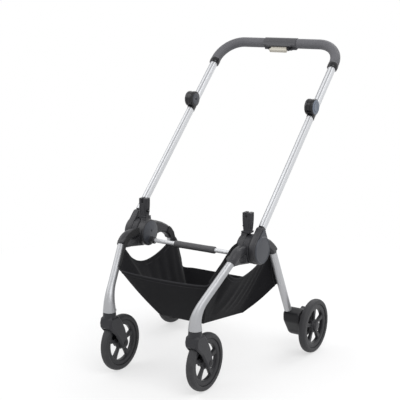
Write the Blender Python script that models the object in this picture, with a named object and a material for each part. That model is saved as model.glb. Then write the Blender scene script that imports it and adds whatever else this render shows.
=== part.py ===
"""Folding pushchair chassis on four wheels, with a shopping basket and a swinging handle.

Metres, +Z up. The front of the pushchair looks along -Y and +X is its left-hand side as a person
in the seat would have it. Heights are from the floor. Lengths are first taken from the front axle
and then moved so that the origin lies under the middle of the whole chassis.
"""
import math

import bmesh
import bpy
from mathutils import Matrix, Vector

# Running clearance between pieces that touch or turn against each other.
GAP = 0.0003
TURN_GAP = 0.0005
WELD = 0.00001
FLAT_ANGLE = math.radians(0.3)
# How far a cutter reaches past what it opens, and the step that keeps two faces out of one plane.
OVERCUT = 0.0300
STAGGER = 0.0006

# Faces round a turned piece.
WHEEL_STEPS = 30
HUB_STEPS = 28
PAD_STEPS = 24
TUBE_STEPS = 20
LEG_STEPS = 18
AXLE_STEPS = 16
BAR_STEPS = 12

# Wheels.
WHEEL_R = 0.0900
TYRE_HALF = 0.0125
TYRE_DEPTH = 0.0165
TREAD_HALF = 0.0030
SHOULDER_HALF = 0.0092
SHOULDER_DROP = 0.0025
SIDEWALL_DROP = 0.0070
BEAD_INSET = 0.0010
RIM_HALF = 0.0085
RIM_BAND = 0.0132
RIM_FILLET = 0.0025
RIM_OUT_R = WHEEL_R - TYRE_DEPTH - GAP
RIM_IN_R = RIM_OUT_R - RIM_BAND
HUB_OUT_R = 0.0165
HUB_HALF = 0.0140
HUB_FILLET = 0.0030
SPOKES = 5
SPOKE_HALF = 0.0060
SPOKE_ROOT = 0.0060
SPOKE_TIP = 0.0100
WEB_AT_HUB = 0.0060
WEB_AT_RIM = 0.0035
AXLE_R = 0.0045
AXLE_CHAMFER = 0.0008

# Plan position of the wheels.
FRONT_X = 0.1595
SWIVEL_Y = -0.0520
REAR_X = 0.2830
REAR_Y = 0.4755

# Hub joint, one each side: front boss, rear disc, handle disc and cover, from the inside out.
HUB_Y = 0.1900
HUB_Z = 0.4062
HUB_INNER_X = 0.1750
BOSS_WIDE = 0.0250
BOSS_OUT_X = HUB_INNER_X + BOSS_WIDE
BOSS_R = 0.0430
BOSS_CHAMFER = 0.0040
REAR_DISC_WIDE = 0.0210
REAR_DISC_IN_X = BOSS_OUT_X + TURN_GAP
REAR_DISC_OUT_X = REAR_DISC_IN_X + REAR_DISC_WIDE
REAR_DISC_R = 0.0455
REAR_DISC_CHAMFER = 0.0012
HANDLE_DISC_WIDE = 0.0225
HANDLE_DISC_IN_X = REAR_DISC_OUT_X + TURN_GAP
HANDLE_DISC_OUT_X = HANDLE_DISC_IN_X + HANDLE_DISC_WIDE
HANDLE_DISC_R = 0.0460
HANDLE_DISC_CHAMFER = 0.0020
DISC_R = max(REAR_DISC_R, HANDLE_DISC_R)
COVER_DOME = 0.0055
COVER_OUT_X = HANDLE_DISC_OUT_X + COVER_DOME
COVER_R = 0.0435
COVER_EDGE = 0.0020
COVER_BEVEL = 0.0030
COVER_LIP = 0.0070
COVER_STEP = 0.0020
COVER_DISH = 0.0010
HUB_PIN_R = 0.0078
HUB_PIN_CHAMFER = 0.0010
PIN_FLOOR = 0.0060
PIN_CAP = 0.0015
PIN_END_PLAY = 0.0010
DIMPLE_R = 0.0040
DIMPLE_DEPTH = 0.0040
DIMPLE_BACK = 0.0060

# Handle: a tube line that rises to the rear, with a knuckle part of the way up.
TUBE_HALF_X = 0.0108
TUBE_HALF_Y = 0.0140
TUBE_WALL = 0.0018
TUBE_INSET = 0.0002
TUBE_X = HANDLE_DISC_IN_X + TUBE_INSET + TUBE_HALF_X
TUBE_FORWARD = 0.0449
TUBE_FOOT_Y = HUB_Y - TUBE_FORWARD
TUBE_LEAN = math.radians(45.18)
UPPER_TUBE_R = 0.0130
SOCKET_TOP = 0.0908
SOCKET_WALL = 0.0020
SOCKET_PROUD = 0.0010
SOCKET_ROUND = 0.0040
SOCKET_BACK = ((0.0560, 0.0680), (0.0390, 0.0770), (0.0240, 0.0800), (0.0172, 0.0850))
SOCKET_FRONT = ((-0.0165, 0.0600), (-0.0130, 0.0340))
KNUCKLE_AT = 0.5558
BAR_AT = 0.8432
BEND_R = 0.0850
GRIP_R = 0.0170
GRIP_DROP = 0.1070
COLLAR_LENGTH = 0.0100
COLLAR_PROUD = 0.0002
COLLAR_R = GRIP_R + COLLAR_PROUD
COLLAR_LIP = 0.0012
COLLAR_RAMP = 0.0015

# Knuckle.
KNUCKLE_FORWARD = 0.0185
KNUCKLE_R = 0.0270
KNUCKLE_HALF = 0.0150
KNUCKLE_SOCKET = 0.0300
KNUCKLE_TOP = 0.0400
KNUCKLE_HEEL = 0.0190
KNUCKLE_ROUND = 0.0014
KNUCKLE_ANGLES = (-20, 250)
FOOT_WALL = 0.0010
TONGUE_R = 0.0262
TONGUE_HALF = 0.0052
TONGUE_PLAY = 0.0009
SLOT_ANGLES = (181, 359)
NECK_HALF = 0.0120
NECK_LOW = 0.0060
NECK_RISE = 0.0160
NECK_SEAT = 0.0050
CAP_WALL = 0.0022
CAP_ROUND = 0.0030
BUTTON_R = 0.0150
BUTTON_SEAT = 0.0014
BUTTON_PROUD = 0.0028
BUTTON_TRAVEL = 0.0030
BUTTON_LIP = 0.0012
BUTTON_EDGE = 0.0010
PIN_HOLE_R = 0.0030
PIN_HOLE_DEPTH = 0.0030

# Release unit in the middle of the bar.
HOUSING_R = 0.0192
HOUSING_HALF = 0.0630
HOUSING_DROP = 0.0230
HOUSING_LIP = 0.0120
HOUSING_STEP = 0.0190
HOUSING_FLOOR = 0.0155
SHELL_ANGLES = (90, -38)
BORE_ANGLES = (-86, 90)
LEVER_TOP = 0.0280
LEVER_FOOT = 0.0390
LEVER_HALF = 0.0340
LEVER_DEEP = 0.0070
LEVER_ROUND = 0.0030
LEVER_STEM_HALF = 0.0290
LEVER_STEM_DEEP = 0.0050
LEVER_STEM_TOP = 0.0200
LEVER_STEM_SEAT = 0.0010
SLIDER_AWAY = 0.0012
SLIDER_LONG = 0.0070
SLIDER_DEEP = 0.0048
SLIDER_LOW = 0.0320
SLIDER_HIGH = 0.0175
SLIDER_ROUND = 0.0010
SLIDER_TRAVEL = 0.0040
SLIDER_PLAY = 0.0008
HOUSING_STEP_X = LEVER_HALF + SLIDER_AWAY + SLIDER_LONG + SLIDER_TRAVEL + SLIDER_PLAY

# Front legs: straight down from the hub bracket, then bent upright and widened to the foot.
LEG_R = 0.0120
LEG_FOOT_R = 0.0205
LEG_FLARE = 0.1100
FORK_RISE = 0.1145
LEG_FOOT_Z = WHEEL_R + FORK_RISE
LEG_OUT = 0.0045
LEG_AHEAD = 0.1170
LEG_DROP = 0.0202
LEG_TOP_X = BOSS_OUT_X + LEG_OUT
LEG_TOP_Y = HUB_Y - LEG_AHEAD
LEG_TOP_Z = HUB_Z - LEG_DROP
KNEE_OUT = 0.0123
KNEE_BACK = 0.0320
KNEE_RISE = 0.0850
BEND_END = 0.0135
BEND_STEPS = 5

# Bracket from the hub down to the leg: offsets from the hub axis to the rear and up.
BRACKET_WALL = 0.0045
BRACKET_INNER_WALL = 0.0025
BRACKET_OUTER_WALL = 0.0007
BRACKET_ROUND = 0.0040
BRACKET_CLEAR = 0.0010
BRACKET_OVER = ((-0.0180, 0.0440), (-0.0480, 0.0400), (-0.0850, 0.0230))
BRACKET_UNDER = ((-0.0800, -0.0330), (-0.0080, -0.0440), (0.0, 0.0))

# Crossbar between the hubs.
CROSSBAR_DROP = 0.0242
CROSSBAR_Y = HUB_Y
CROSSBAR_Z = HUB_Z - CROSSBAR_DROP
CROSSBAR_R = 0.0068
LUG_R = 0.0115
LUG_LONG = 0.0190
LUG_IN_X = HUB_INNER_X - LUG_LONG
LUG_SEAT = 0.0050
LUG_CHAMFER = 0.0010
SLEEVE_R = 0.0112
SLEEVE_HALF = 0.0760
SLEEVE_LIP = 0.0015

# Seat adapter post with its latch tooth.
ADAPTER_INSET = 0.0040
ADAPTER_AHEAD = 0.0020
ADAPTER_RISE = 0.0498
ADAPTER_HIGH = 0.0645
ADAPTER_X = BOSS_OUT_X - ADAPTER_INSET
ADAPTER_Y = HUB_Y - ADAPTER_AHEAD
ADAPTER_FOOT = HUB_Z + ADAPTER_RISE
ADAPTER_HALF_X = 0.0115
ADAPTER_HALF_Y = 0.0095
ADAPTER_ROUND = 0.0022
ADAPTER_SLOT_HALF = 0.0028
ADAPTER_SLOT_DEEP = 0.0170
PAD_INNER = 0.0160
PAD_FRONT = 0.0160
PAD_REAR = 0.0140
PAD_LOW = 0.0100
FLANGE_OUTER = 0.0130
FLANGE_FRONT = 0.0140
FLANGE_REAR = 0.0120
FLANGE_HIGH = 0.0055
LATCH_RISE = 0.0180
LATCH_HIGH = 0.0080
LATCH_HALF = 0.0040
LATCH_REACH = 0.0178
LATCH_SLOPE = 0.0053
LATCH_NOSE = 0.0045
LATCH_TRAVEL = 0.0040

# Caster fork: offsets from the swivel axis to the rear, and from the foot of the leg.
FORK_HALF = 0.0225
FORK_ROUND = 0.0045
FORK_TIP_R = 0.0175
FORK_TIP_ANGLES = (-125, 40)
FORK_REAR = ((-0.0180, -0.0155), (-0.0245, -0.0345), (-0.0225, -0.0485), (-0.0140, -0.0585),
             (0.0080, -0.0785))
FORK_FRONT = ((0.0530, -0.0645), (0.0370, -0.0365), (0.0200, -0.0155))
TYRE_PLAY = 0.0030
HEAD_FOOT_INSET = 0.0025
HEAD_BULGE = 0.0007
HEAD_TOP_INSET = 0.0011
HEAD_LOW = 0.0210
HEAD_WAIST = 0.0165
HEAD_SHOULDER = 0.0030
HEAD_TOP = 0.0010
STEM_R = 0.0055
STEM_FLOOR = 0.0175
LOCK_HALF = 0.0060
LOCK_DEEP = 0.0073
LOCK_LOW = 0.0055
LOCK_HIGH = 0.0035
LOCK_ROUND = 0.0018

# Rear frame: the arm's back and belly are offsets from the hub axis to the rear and up.
REAR_LEG_R = 0.0125
REAR_LEG_OUT = 0.0005
REAR_LEG_BACK = 0.1485
REAR_LEG_DROP = 0.0457
REAR_FOOT_X = 0.2140
REAR_FOOT_AHEAD = 0.0510
REAR_FOOT_RISE = 0.0580
REAR_LEG_TOP = (BOSS_OUT_X + REAR_LEG_OUT, HUB_Y + REAR_LEG_BACK, HUB_Z - REAR_LEG_DROP)
REAR_LEG_FOOT = (REAR_FOOT_X, REAR_Y - REAR_FOOT_AHEAD, WHEEL_R + REAR_FOOT_RISE)
ARM_WALL = 0.0040
ARM_INNER_WALL = 0.0010
ARM_OUTER_WALL = 0.0005
ARM_IN_X = REAR_LEG_TOP[0] - REAR_LEG_R - ARM_INNER_WALL
ARM_OUT_X = REAR_LEG_TOP[0] + REAR_LEG_R + ARM_OUTER_WALL
ARM_ROUND = 0.0055
ARM_PLAY = 0.0012
ARM_BACK = ((0.0250, 0.0318), (0.0580, 0.0278), (0.0890, 0.0168), (0.1200, 0.0018),
            (0.1430, -0.0142), (0.1600, -0.0292))
ARM_BELLY = ((0.1260, -0.0382), (0.1080, -0.0242), (0.0780, -0.0172), (0.0520, -0.0212),
             (0.0250, -0.0302))
DRUM_R = 0.0400
DRUM_ANGLES = (205, 435)
DRUM_ROUND = 0.0050
DRUM_AWAY = 0.0050
DRUM_IN_X = REAR_FOOT_X - REAR_LEG_R - ARM_OUTER_WALL
DRUM_OUT_X = REAR_X - HUB_HALF - DRUM_AWAY
DRUM_SEAT_BACK = 0.0055
DRUM_SEAT_FRONT = 0.0040
DRUM_KNEE = (0.0020, -0.0300)
DRUM_SHOULDER = (0.0240, -0.0090)
AXLE_SEAT = 0.0300
AXLE_END = 0.0010

# Brake pedal round the drum.
PEDAL_INNER = 0.0070
PEDAL_OUTER = 0.0060
PEDAL_IN_X = DRUM_IN_X + PEDAL_INNER
PEDAL_OUT_X = DRUM_OUT_X - PEDAL_OUTER
PEDAL_PLAY = 0.0006
PEDAL_BAND = 0.0055
PEDAL_REACH = 0.0320
PEDAL_ROUND = 0.0012
BAND_ANGLES = (2, 62)
TREAD_ROOT_ANGLES = (24, 40)
TREAD_TIP_ANGLES = (26, 34)

# Basket: half of its hem from the middle of the front round to the middle of the rear, and floor.
CLOTH = 0.0020
HEM = ((0.0000, -0.0020, 0.3200), (0.0500, -0.0020, 0.3205), (0.1000, -0.0015, 0.3220),
       (0.1420, 0.0005, 0.3240), (0.1640, 0.0080, 0.3260), (0.1735, 0.0235, 0.3390),
       (0.1822, 0.0470, 0.3620), (0.1876, 0.0640, 0.3760), (0.1860, 0.0780, 0.3620),
       (0.1845, 0.0980, 0.3400), (0.1840, 0.1300, 0.3220), (0.1835, 0.1700, 0.3140),
       (0.1835, 0.2150, 0.3180), (0.1840, 0.2600, 0.3290), (0.1845, 0.3050, 0.3460),
       (0.1854, 0.3400, 0.3580), (0.1858, 0.3590, 0.3420), (0.1862, 0.3720, 0.3060),
       (0.1862, 0.3850, 0.2700), (0.1862, 0.3950, 0.2400), (0.1400, 0.3980, 0.2400),
       (0.0700, 0.3980, 0.2400), (0.0000, 0.3980, 0.2400))
FLOOR_FRONT = (0.0820, 0.1100, 0.1640)
FLOOR_REAR = (0.1000, 0.3180, 0.1460)
FRONT_RUN = 4
REAR_RUN = 3
WALL_SHARES = (0.0, 0.12, 0.34, 0.58, 0.80, 1.0)
WALL_SAG = 0.0060
FLOOR_SAG = 0.0060

BAR_Y = TUBE_FOOT_Y + BAR_AT * math.sin(TUBE_LEAN)
FRONT_REACH = WHEEL_R * math.cos(math.pi / WHEEL_STEPS)
ORIGIN_Y = (BAR_Y + HOUSING_R - FRONT_REACH) / 2

SIDES = (("left", 1), ("right", -1))

# Tilts the local frame of the handle, whose +Z runs up the tube and +Y to the rear of it.
HANDLE_TILT = Matrix.Rotation(-TUBE_LEAN, 4, "X")


def world(x, y, z):
    """Point given from the front axle, moved to the chassis origin."""
    return Vector((x, y - ORIGIN_Y, z))


def clear_scene():
    for item in list(bpy.data.objects):
        bpy.data.objects.remove(item, do_unlink=True)


# Materials.

def make_material(name, colour, roughness, metallic=0.0):
    material = bpy.data.materials.new(name)
    material.use_nodes = True
    shader = material.node_tree.nodes["Principled BSDF"]
    shader.inputs["Base Color"].default_value = (*colour, 1.0)
    shader.inputs["Roughness"].default_value = roughness
    shader.inputs["Metallic"].default_value = metallic
    material.diffuse_color = (*colour, 1.0)
    return material


def silver_tube():
    return make_material("satin_aluminium", (0.66, 0.67, 0.69), 0.34, 0.9)


def black_plastic():
    return make_material("dark_plastic", (0.030, 0.030, 0.034), 0.48)


def grey_plastic():
    return make_material("charcoal_plastic", (0.060, 0.061, 0.068), 0.42)


def blue_plastic():
    return make_material("blue_grey_plastic", (0.095, 0.105, 0.130), 0.38)


def grip_foam():
    return make_material("grey_grip", (0.115, 0.115, 0.125), 0.72)


def pale_plastic():
    return make_material("off_white_plastic", (0.62, 0.61, 0.56), 0.5)


def rubber():
    return make_material("tyre_rubber", (0.040, 0.040, 0.044), 0.72)


def wheel_plastic():
    return make_material("wheel_plastic", (0.050, 0.050, 0.056), 0.45)


def steel():
    return make_material("steel_pin", (0.45, 0.45, 0.47), 0.3, 1.0)


def basket_cloth():
    return make_material("black_cloth", (0.018, 0.018, 0.021), 0.9)


# Modelling.

def finish_mesh(bm, name):
    """Weld, face outward and store the mesh in a new object."""
    bmesh.ops.remove_doubles(bm, verts=bm.verts, dist=1e-6)
    bmesh.ops.recalc_face_normals(bm, faces=bm.faces)
    mesh = bpy.data.meshes.new(name)
    bm.to_mesh(mesh)
    bm.free()
    item = bpy.data.objects.new(name, mesh)
    bpy.context.scene.collection.objects.link(item)
    return item


def bake(item):
    """Apply every modifier of the object."""
    bpy.context.view_layer.update()
    graph = bpy.context.evaluated_depsgraph_get()
    mesh = bpy.data.meshes.new_from_object(item.evaluated_get(graph))
    item.modifiers.clear()
    item.data = mesh
    return item


def combine(target, other, operation):
    """Exact Boolean of two objects; the second one is used up."""
    modifier = target.modifiers.new("join", "BOOLEAN")
    modifier.operation = operation
    modifier.solver = "EXACT"
    modifier.object = other
    bake(target)
    bpy.data.objects.remove(other, do_unlink=True)
    return weld(target)


def weld(item):
    """Merge the near-equal points and the flat slivers that a cut leaves behind."""
    bm = bmesh.new()
    bm.from_mesh(item.data)
    bmesh.ops.remove_doubles(bm, verts=bm.verts, dist=WELD)
    bmesh.ops.dissolve_degenerate(bm, edges=bm.edges, dist=WELD)
    bmesh.ops.dissolve_limit(bm, angle_limit=FLAT_ANGLE, verts=bm.verts, edges=bm.edges)
    bm.to_mesh(item.data)
    bm.free()
    return item


def add(target, other):
    return combine(target, other, "UNION")


def cut(target, other):
    return combine(target, other, "DIFFERENCE")


def soften(item, width, segments=2, angle=35.0):
    """Round the sharp edges of an object."""
    modifier = item.modifiers.new("soften", "BEVEL")
    modifier.width = width
    modifier.segments = segments
    modifier.limit_method = "ANGLE"
    modifier.angle_limit = math.radians(angle)
    modifier.use_clamp_overlap = True
    return bake(item)


def transform(item, matrix):
    """Move the mesh itself, keeping the object at the scene origin."""
    item.data.transform(matrix)
    if matrix.determinant() < 0:
        item.data.flip_normals()
    return item


def shade(item, material, smooth_angle=32.0):
    """Give the finished object its material and smooth its round faces."""
    item.data.materials.clear()
    item.data.materials.append(material)
    item.data.shade_smooth()
    bm = bmesh.new()
    bm.from_mesh(item.data)
    for edge in bm.edges:
        sharp = len(edge.link_faces) == 2 and edge.calc_face_angle() > math.radians(smooth_angle)
        edge.smooth = not sharp
    bm.to_mesh(item.data)
    bm.free()
    return item


def set_origin(item, point):
    """Put the object's own origin on a joint axis without moving its surface."""
    item.data.transform(Matrix.Translation(-point))
    item.location = point
    return item


def lathe(name, profile, segments, centre, axis="X"):
    """Turned solid. The profile is a closed run of (radius, along) points."""
    bm = bmesh.new()
    ring = [bm.verts.new((along, 0.0, radius)) for radius, along in profile]
    edges = [bm.edges.new((ring[i], ring[(i + 1) % len(ring)])) for i in range(len(ring))]
    bmesh.ops.spin(bm, geom=ring + edges, axis=(1, 0, 0), cent=(0, 0, 0),
                   angle=math.tau, steps=segments, use_merge=True)
    bmesh.ops.remove_doubles(bm, verts=bm.verts, dist=1e-6)
    flat = [edge for edge in bm.edges if not edge.link_faces]
    bmesh.ops.delete(bm, geom=flat, context="EDGES")
    item = finish_mesh(bm, name)
    if axis == "Z":
        transform(item, Matrix.Rotation(math.radians(-90), 4, "Y"))
    return transform(item, Matrix.Translation(centre))


def rod(name, radius, start, end, centre, segments=24, axis="X", chamfer=0.0):
    """Solid round bar between two stations on its axis."""
    if chamfer > 0:
        profile = [(0, start), (radius - chamfer, start), (radius, start + chamfer),
                   (radius, end - chamfer), (radius - chamfer, end), (0, end)]
    else:
        profile = [(0, start), (radius, start), (radius, end), (0, end)]
    return lathe(name, profile, segments, centre, axis)


def plate(name, outline, x_low, x_high):
    """Side outline of (y, z) points, extruded across the chassis."""
    bm = bmesh.new()
    face = bm.faces.new([bm.verts.new((x_low, y, z)) for y, z in outline])
    grown = bmesh.ops.extrude_face_region(bm, geom=[face])
    moved = [part for part in grown["geom"] if isinstance(part, bmesh.types.BMVert)]
    bmesh.ops.translate(bm, verts=moved, vec=(x_high - x_low, 0, 0))
    return finish_mesh(bm, name)


def box(name, low, high):
    """Rectangular block between two corners."""
    outline = [(low[1], low[2]), (high[1], low[2]), (high[1], high[2]), (low[1], high[2])]
    return plate(name, outline, low[0], high[0])


def arc(centre, radius, start, end, steps):
    """Points on an arc of a side view, angles in degrees from the rear horizontal."""
    points = []
    for step in range(steps + 1):
        angle = math.radians(start + (end - start) * step / steps)
        points.append((centre[0] + radius * math.cos(angle), centre[1] + radius * math.sin(angle)))
    return points


def sweep(name, stations, segments, wall=0.0):
    """Tube through stations of (centre, tangent, half width across, half width other way).

    The first half width lies along the side axis of the chassis where the path allows it.
    """
    bm = bmesh.new()
    loops = []
    for inner in ((0.0, wall) if wall > 0 else (0.0,)):
        rings = []
        for centre, tangent, half_a, half_b in stations:
            along = Vector(tangent).normalized()
            side = Vector((0, 1, 0)).cross(along)
            if side.length < 0.2:
                side = Vector((0, 0, 1)).cross(along)
            side.normalize()
            other = along.cross(side)
            ring = []
            for step in range(segments):
                angle = math.tau * step / segments
                offset = side * (half_a - inner) * math.cos(angle)
                offset += other * (half_b - inner) * math.sin(angle)
                ring.append(bm.verts.new(Vector(centre) + offset))
            rings.append(ring)
        loops.append(rings)
    for rings in loops:
        for low, high in zip(rings, rings[1:]):
            skin_between(bm, low, high)
    for end in (0, -1):
        if wall > 0:
            skin_between(bm, loops[0][end], loops[1][end])
        else:
            bm.faces.new(loops[0][end])
    return finish_mesh(bm, name)


def skin_between(bm, low, high):
    count = len(low)
    for step in range(count):
        following = (step + 1) % count
        bm.faces.new((low[step], low[following], high[following], high[step]))


def mirror_x(point, side):
    return Vector((point[0] * side, point[1], point[2]))


def handle_point(x, across, along):
    """Point beside the tube line: across is to the rear of it, along is up it."""
    foot = world(0, TUBE_FOOT_Y, HUB_Z)
    return foot + HANDLE_TILT @ Vector((x, across, along))


def to_handle(item, x=0.0, along=0.0, across=0.0):
    """Set an object that was built in the local handle frame onto the tube line."""
    transform(item, HANDLE_TILT)
    return transform(item, Matrix.Translation(handle_point(0, across, along) + Vector((x, 0, 0))))


def side_outline(points):
    """Side outline points given from the front axle."""
    return [(y - ORIGIN_Y, z) for y, z in points]


HUB = world(0, HUB_Y, HUB_Z)


# Wheels.

def spoke_opening(index):
    """Outline of one opening between two spokes of a wheel."""
    pitch = math.tau / SPOKES
    start = math.pi / 2 + pitch * index
    inner, outer = HUB_OUT_R + WEB_AT_HUB, RIM_IN_R - WEB_AT_RIM
    at_rim, at_hub = SPOKE_TIP / outer, SPOKE_ROOT / inner
    points = polar_run(outer, start + at_rim, start + pitch - at_rim, 5)
    return points + polar_run(inner, start + pitch - at_hub, start + at_hub, 2)


def polar_run(radius, start, end, steps):
    """Points on an arc about the wheel's middle, angles in radians."""
    angles = [start + (end - start) * step / steps for step in range(steps + 1)]
    return [(radius * math.cos(angle), radius * math.sin(angle)) for angle in angles]


def build_rim(name, centre, material):
    """Five-spoke rim with a hub tube and a well for the tyre."""
    half = [(RIM_OUT_R, RIM_HALF), (RIM_IN_R, RIM_HALF), (RIM_IN_R - RIM_FILLET, SPOKE_HALF),
            (HUB_OUT_R + HUB_FILLET, SPOKE_HALF), (HUB_OUT_R, HUB_HALF), (AXLE_R + GAP, HUB_HALF)]
    profile = half + [(radius, -along) for radius, along in reversed(half)]
    rim = lathe(name, profile, WHEEL_STEPS, (0, 0, 0))
    for index in range(SPOKES):
        opening = plate("opening", spoke_opening(index), -RIM_HALF * 2, RIM_HALF * 2)
        cut(rim, opening)
    transform(rim, Matrix.Translation(centre))
    return shade(rim, material)


def build_tyre(name, centre, material):
    """Rounded tread over a flat seat that fits round the rim."""
    half = [(WHEEL_R - TYRE_DEPTH, TYRE_HALF - BEAD_INSET), (WHEEL_R - SIDEWALL_DROP, TYRE_HALF),
            (WHEEL_R - SHOULDER_DROP, SHOULDER_HALF), (WHEEL_R, TREAD_HALF)]
    profile = half + [(radius, -along) for radius, along in reversed(half)]
    tyre = lathe(name, profile, WHEEL_STEPS, centre)
    return shade(tyre, material, 50.0)


def build_wheel(prefix, centre, plastic, tread):
    """Rim and tyre that turn together about one axle."""
    rim = build_rim(prefix + "_rim", centre, plastic)
    tyre = build_tyre(prefix + "_tyre", centre, tread)
    set_origin(rim, Vector(centre))
    set_origin(tyre, Vector(centre))


# Front frame.

def leg_curve():
    """Centre line of the left front leg: straight to the knee, then a curve to the upright foot."""
    top = Vector((LEG_TOP_X, LEG_TOP_Y, LEG_TOP_Z))
    knee = Vector((FRONT_X + KNEE_OUT, SWIVEL_Y + KNEE_BACK, LEG_FOOT_Z + KNEE_RISE))
    corner = knee + (knee - top) * (KNEE_BACK / (top.y - knee.y))
    end = Vector((FRONT_X, SWIVEL_Y, LEG_FOOT_Z + BEND_END))
    line = [top]
    for step in range(BEND_STEPS + 1):
        share = step / BEND_STEPS
        line.append(knee.lerp(corner, share).lerp(corner.lerp(end, share), share))
    return line + [Vector((FRONT_X, SWIVEL_Y, LEG_FOOT_Z))]


def leg_radius(z):
    """Radius of the front leg at a height: it widens towards its foot."""
    return max(LEG_R, LEG_FOOT_R - LEG_FLARE * (z - LEG_FOOT_Z))


def leg_stations():
    """Stations of the left front leg, from the bracket down."""
    centres = [world(*point) for point in leg_curve()]
    stations = []
    for index, centre in enumerate(centres):
        before = centres[max(index - 1, 0)]
        after = centres[min(index + 1, len(centres) - 1)]
        tangent = after - before
        if index == 0:
            tangent.x = 0.0
        if index >= len(centres) - 2:
            tangent = Vector((0, 0, -1))
        radius = leg_radius(centre.z)
        stations.append((centre, tangent, radius, radius))
    return stations


def build_front_leg(name, side, material):
    leg = sweep(name, leg_stations(), LEG_STEPS)
    transform(leg, Matrix.Scale(side, 4, (1, 0, 0)))
    return shade(leg, material)


def from_hub(offsets):
    """Side points given from the hub axis, to the rear and up."""
    return [(HUB_Y + back, HUB_Z + up) for back, up in offsets]


def bracket_outline():
    """Arm from the hub boss down to the top of the front leg, seen from the side."""
    top, knee = leg_curve()[:2]
    along = Vector((top.y - knee.y, top.z - knee.z)).normalized()
    across = Vector((-along.y, along.x)) * (LEG_R + BRACKET_WALL)
    face = Vector((top.y, top.z)) + along * GAP
    ends = [tuple(face + across), tuple(face - across)]
    return side_outline(from_hub(BRACKET_OVER) + ends + from_hub(BRACKET_UNDER))


def build_front_hub(name, side, material):
    """Hub body of the front frame: boss, leg bracket, crossbar lug and adapter pad."""
    body = rod(name, BOSS_R, HUB_INNER_X, BOSS_OUT_X, HUB, HUB_STEPS, chamfer=BOSS_CHAMFER)
    inner_x = LEG_TOP_X - LEG_R - BRACKET_INNER_WALL
    outer_x = LEG_TOP_X + LEG_R + BRACKET_OUTER_WALL
    bracket = soften(plate("bracket", bracket_outline(), inner_x, outer_x), BRACKET_ROUND, 1)
    clearance = rod("clearance", DISC_R + BRACKET_CLEAR, BOSS_OUT_X - STAGGER,
                    BOSS_OUT_X + OVERCUT, HUB, HUB_STEPS)
    add(body, cut(bracket, clearance))
    lug_centre = world(0, CROSSBAR_Y, CROSSBAR_Z)
    add(body, rod("lug", LUG_R, LUG_IN_X, HUB_INNER_X + LUG_SEAT, lug_centre, TUBE_STEPS,
                  chamfer=LUG_CHAMFER))
    pad_low = world(ADAPTER_X - PAD_INNER, ADAPTER_Y - PAD_FRONT, HUB_Z + PAD_LOW)
    pad_high = world(BOSS_OUT_X - STAGGER, ADAPTER_Y + PAD_REAR, ADAPTER_FOOT - GAP)
    add(body, box("pad", pad_low, pad_high))
    cut(body, rod("bore", HUB_PIN_R + GAP, HUB_INNER_X + PIN_FLOOR, HANDLE_DISC_OUT_X, HUB, TUBE_STEPS))
    dimple = HUB + Vector((0, DIMPLE_BACK, 0))
    cut(body, rod("dimple", DIMPLE_R, LUG_IN_X, HUB_INNER_X + DIMPLE_DEPTH, dimple, BAR_STEPS))
    transform(body, Matrix.Scale(side, 4, (1, 0, 0)))
    return shade(body, material)


def build_hub_pin(name, side, material):
    start = HUB_INNER_X + PIN_FLOOR + TURN_GAP
    end = HANDLE_DISC_OUT_X - PIN_CAP - PIN_END_PLAY
    pin = rod(name, HUB_PIN_R, start, end, HUB, TUBE_STEPS, chamfer=HUB_PIN_CHAMFER)
    transform(pin, Matrix.Scale(side, 4, (1, 0, 0)))
    return shade(pin, material)


def build_adapter(name, side, material):
    """Upright post that a seat clicks onto, slotted from above and pocketed for its latch."""
    post = box(name, post_corner(-ADAPTER_HALF_X, -ADAPTER_HALF_Y, 0),
               post_corner(ADAPTER_HALF_X, ADAPTER_HALF_Y, ADAPTER_HIGH))
    soften(post, ADAPTER_ROUND)
    add(post, box("flange", post_corner(-PAD_INNER, -FLANGE_FRONT, 0),
                  post_corner(FLANGE_OUTER, FLANGE_REAR, FLANGE_HIGH)))
    cut(post, box("slot", post_corner(-ADAPTER_SLOT_HALF, -OVERCUT, ADAPTER_HIGH - ADAPTER_SLOT_DEEP),
                  post_corner(ADAPTER_SLOT_HALF, OVERCUT, ADAPTER_HIGH + OVERCUT)))
    side_play = LATCH_HALF + TURN_GAP
    cut(post, box("pocket", post_corner(-OVERCUT, -side_play, LATCH_RISE - TURN_GAP),
                  post_corner(LATCH_TRAVEL + TURN_GAP, side_play, LATCH_RISE + LATCH_HIGH + TURN_GAP)))
    transform(post, Matrix.Scale(side, 4, (1, 0, 0)))
    return shade(post, material)


def post_corner(out, back, up):
    """Point given from the middle of the foot of the left adapter post."""
    return world(ADAPTER_X + out, ADAPTER_Y + back, ADAPTER_FOOT + up)


def latch_outline():
    """Wedge tooth of the seat latch, seen from the front as (outward, up) from the post's foot."""
    low, high = LATCH_RISE, LATCH_RISE + LATCH_HIGH
    return [(0, low), (0, high), (LATCH_SLOPE - LATCH_REACH, high),
            (-LATCH_REACH, low + LATCH_NOSE), (-LATCH_REACH, low)]


def build_latch(name, side, material):
    """Wedge tooth that stands out of the post towards the middle of the chassis."""
    bm = bmesh.new()
    corners = [bm.verts.new(post_corner(out, -LATCH_HALF, up)) for out, up in latch_outline()]
    grown = bmesh.ops.extrude_face_region(bm, geom=[bm.faces.new(corners)])
    moved = [part for part in grown["geom"] if isinstance(part, bmesh.types.BMVert)]
    bmesh.ops.translate(bm, verts=moved, vec=(0, LATCH_HALF * 2, 0))
    latch = finish_mesh(bm, name)
    transform(latch, Matrix.Scale(side, 4, (1, 0, 0)))
    return shade(latch, material)


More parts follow.
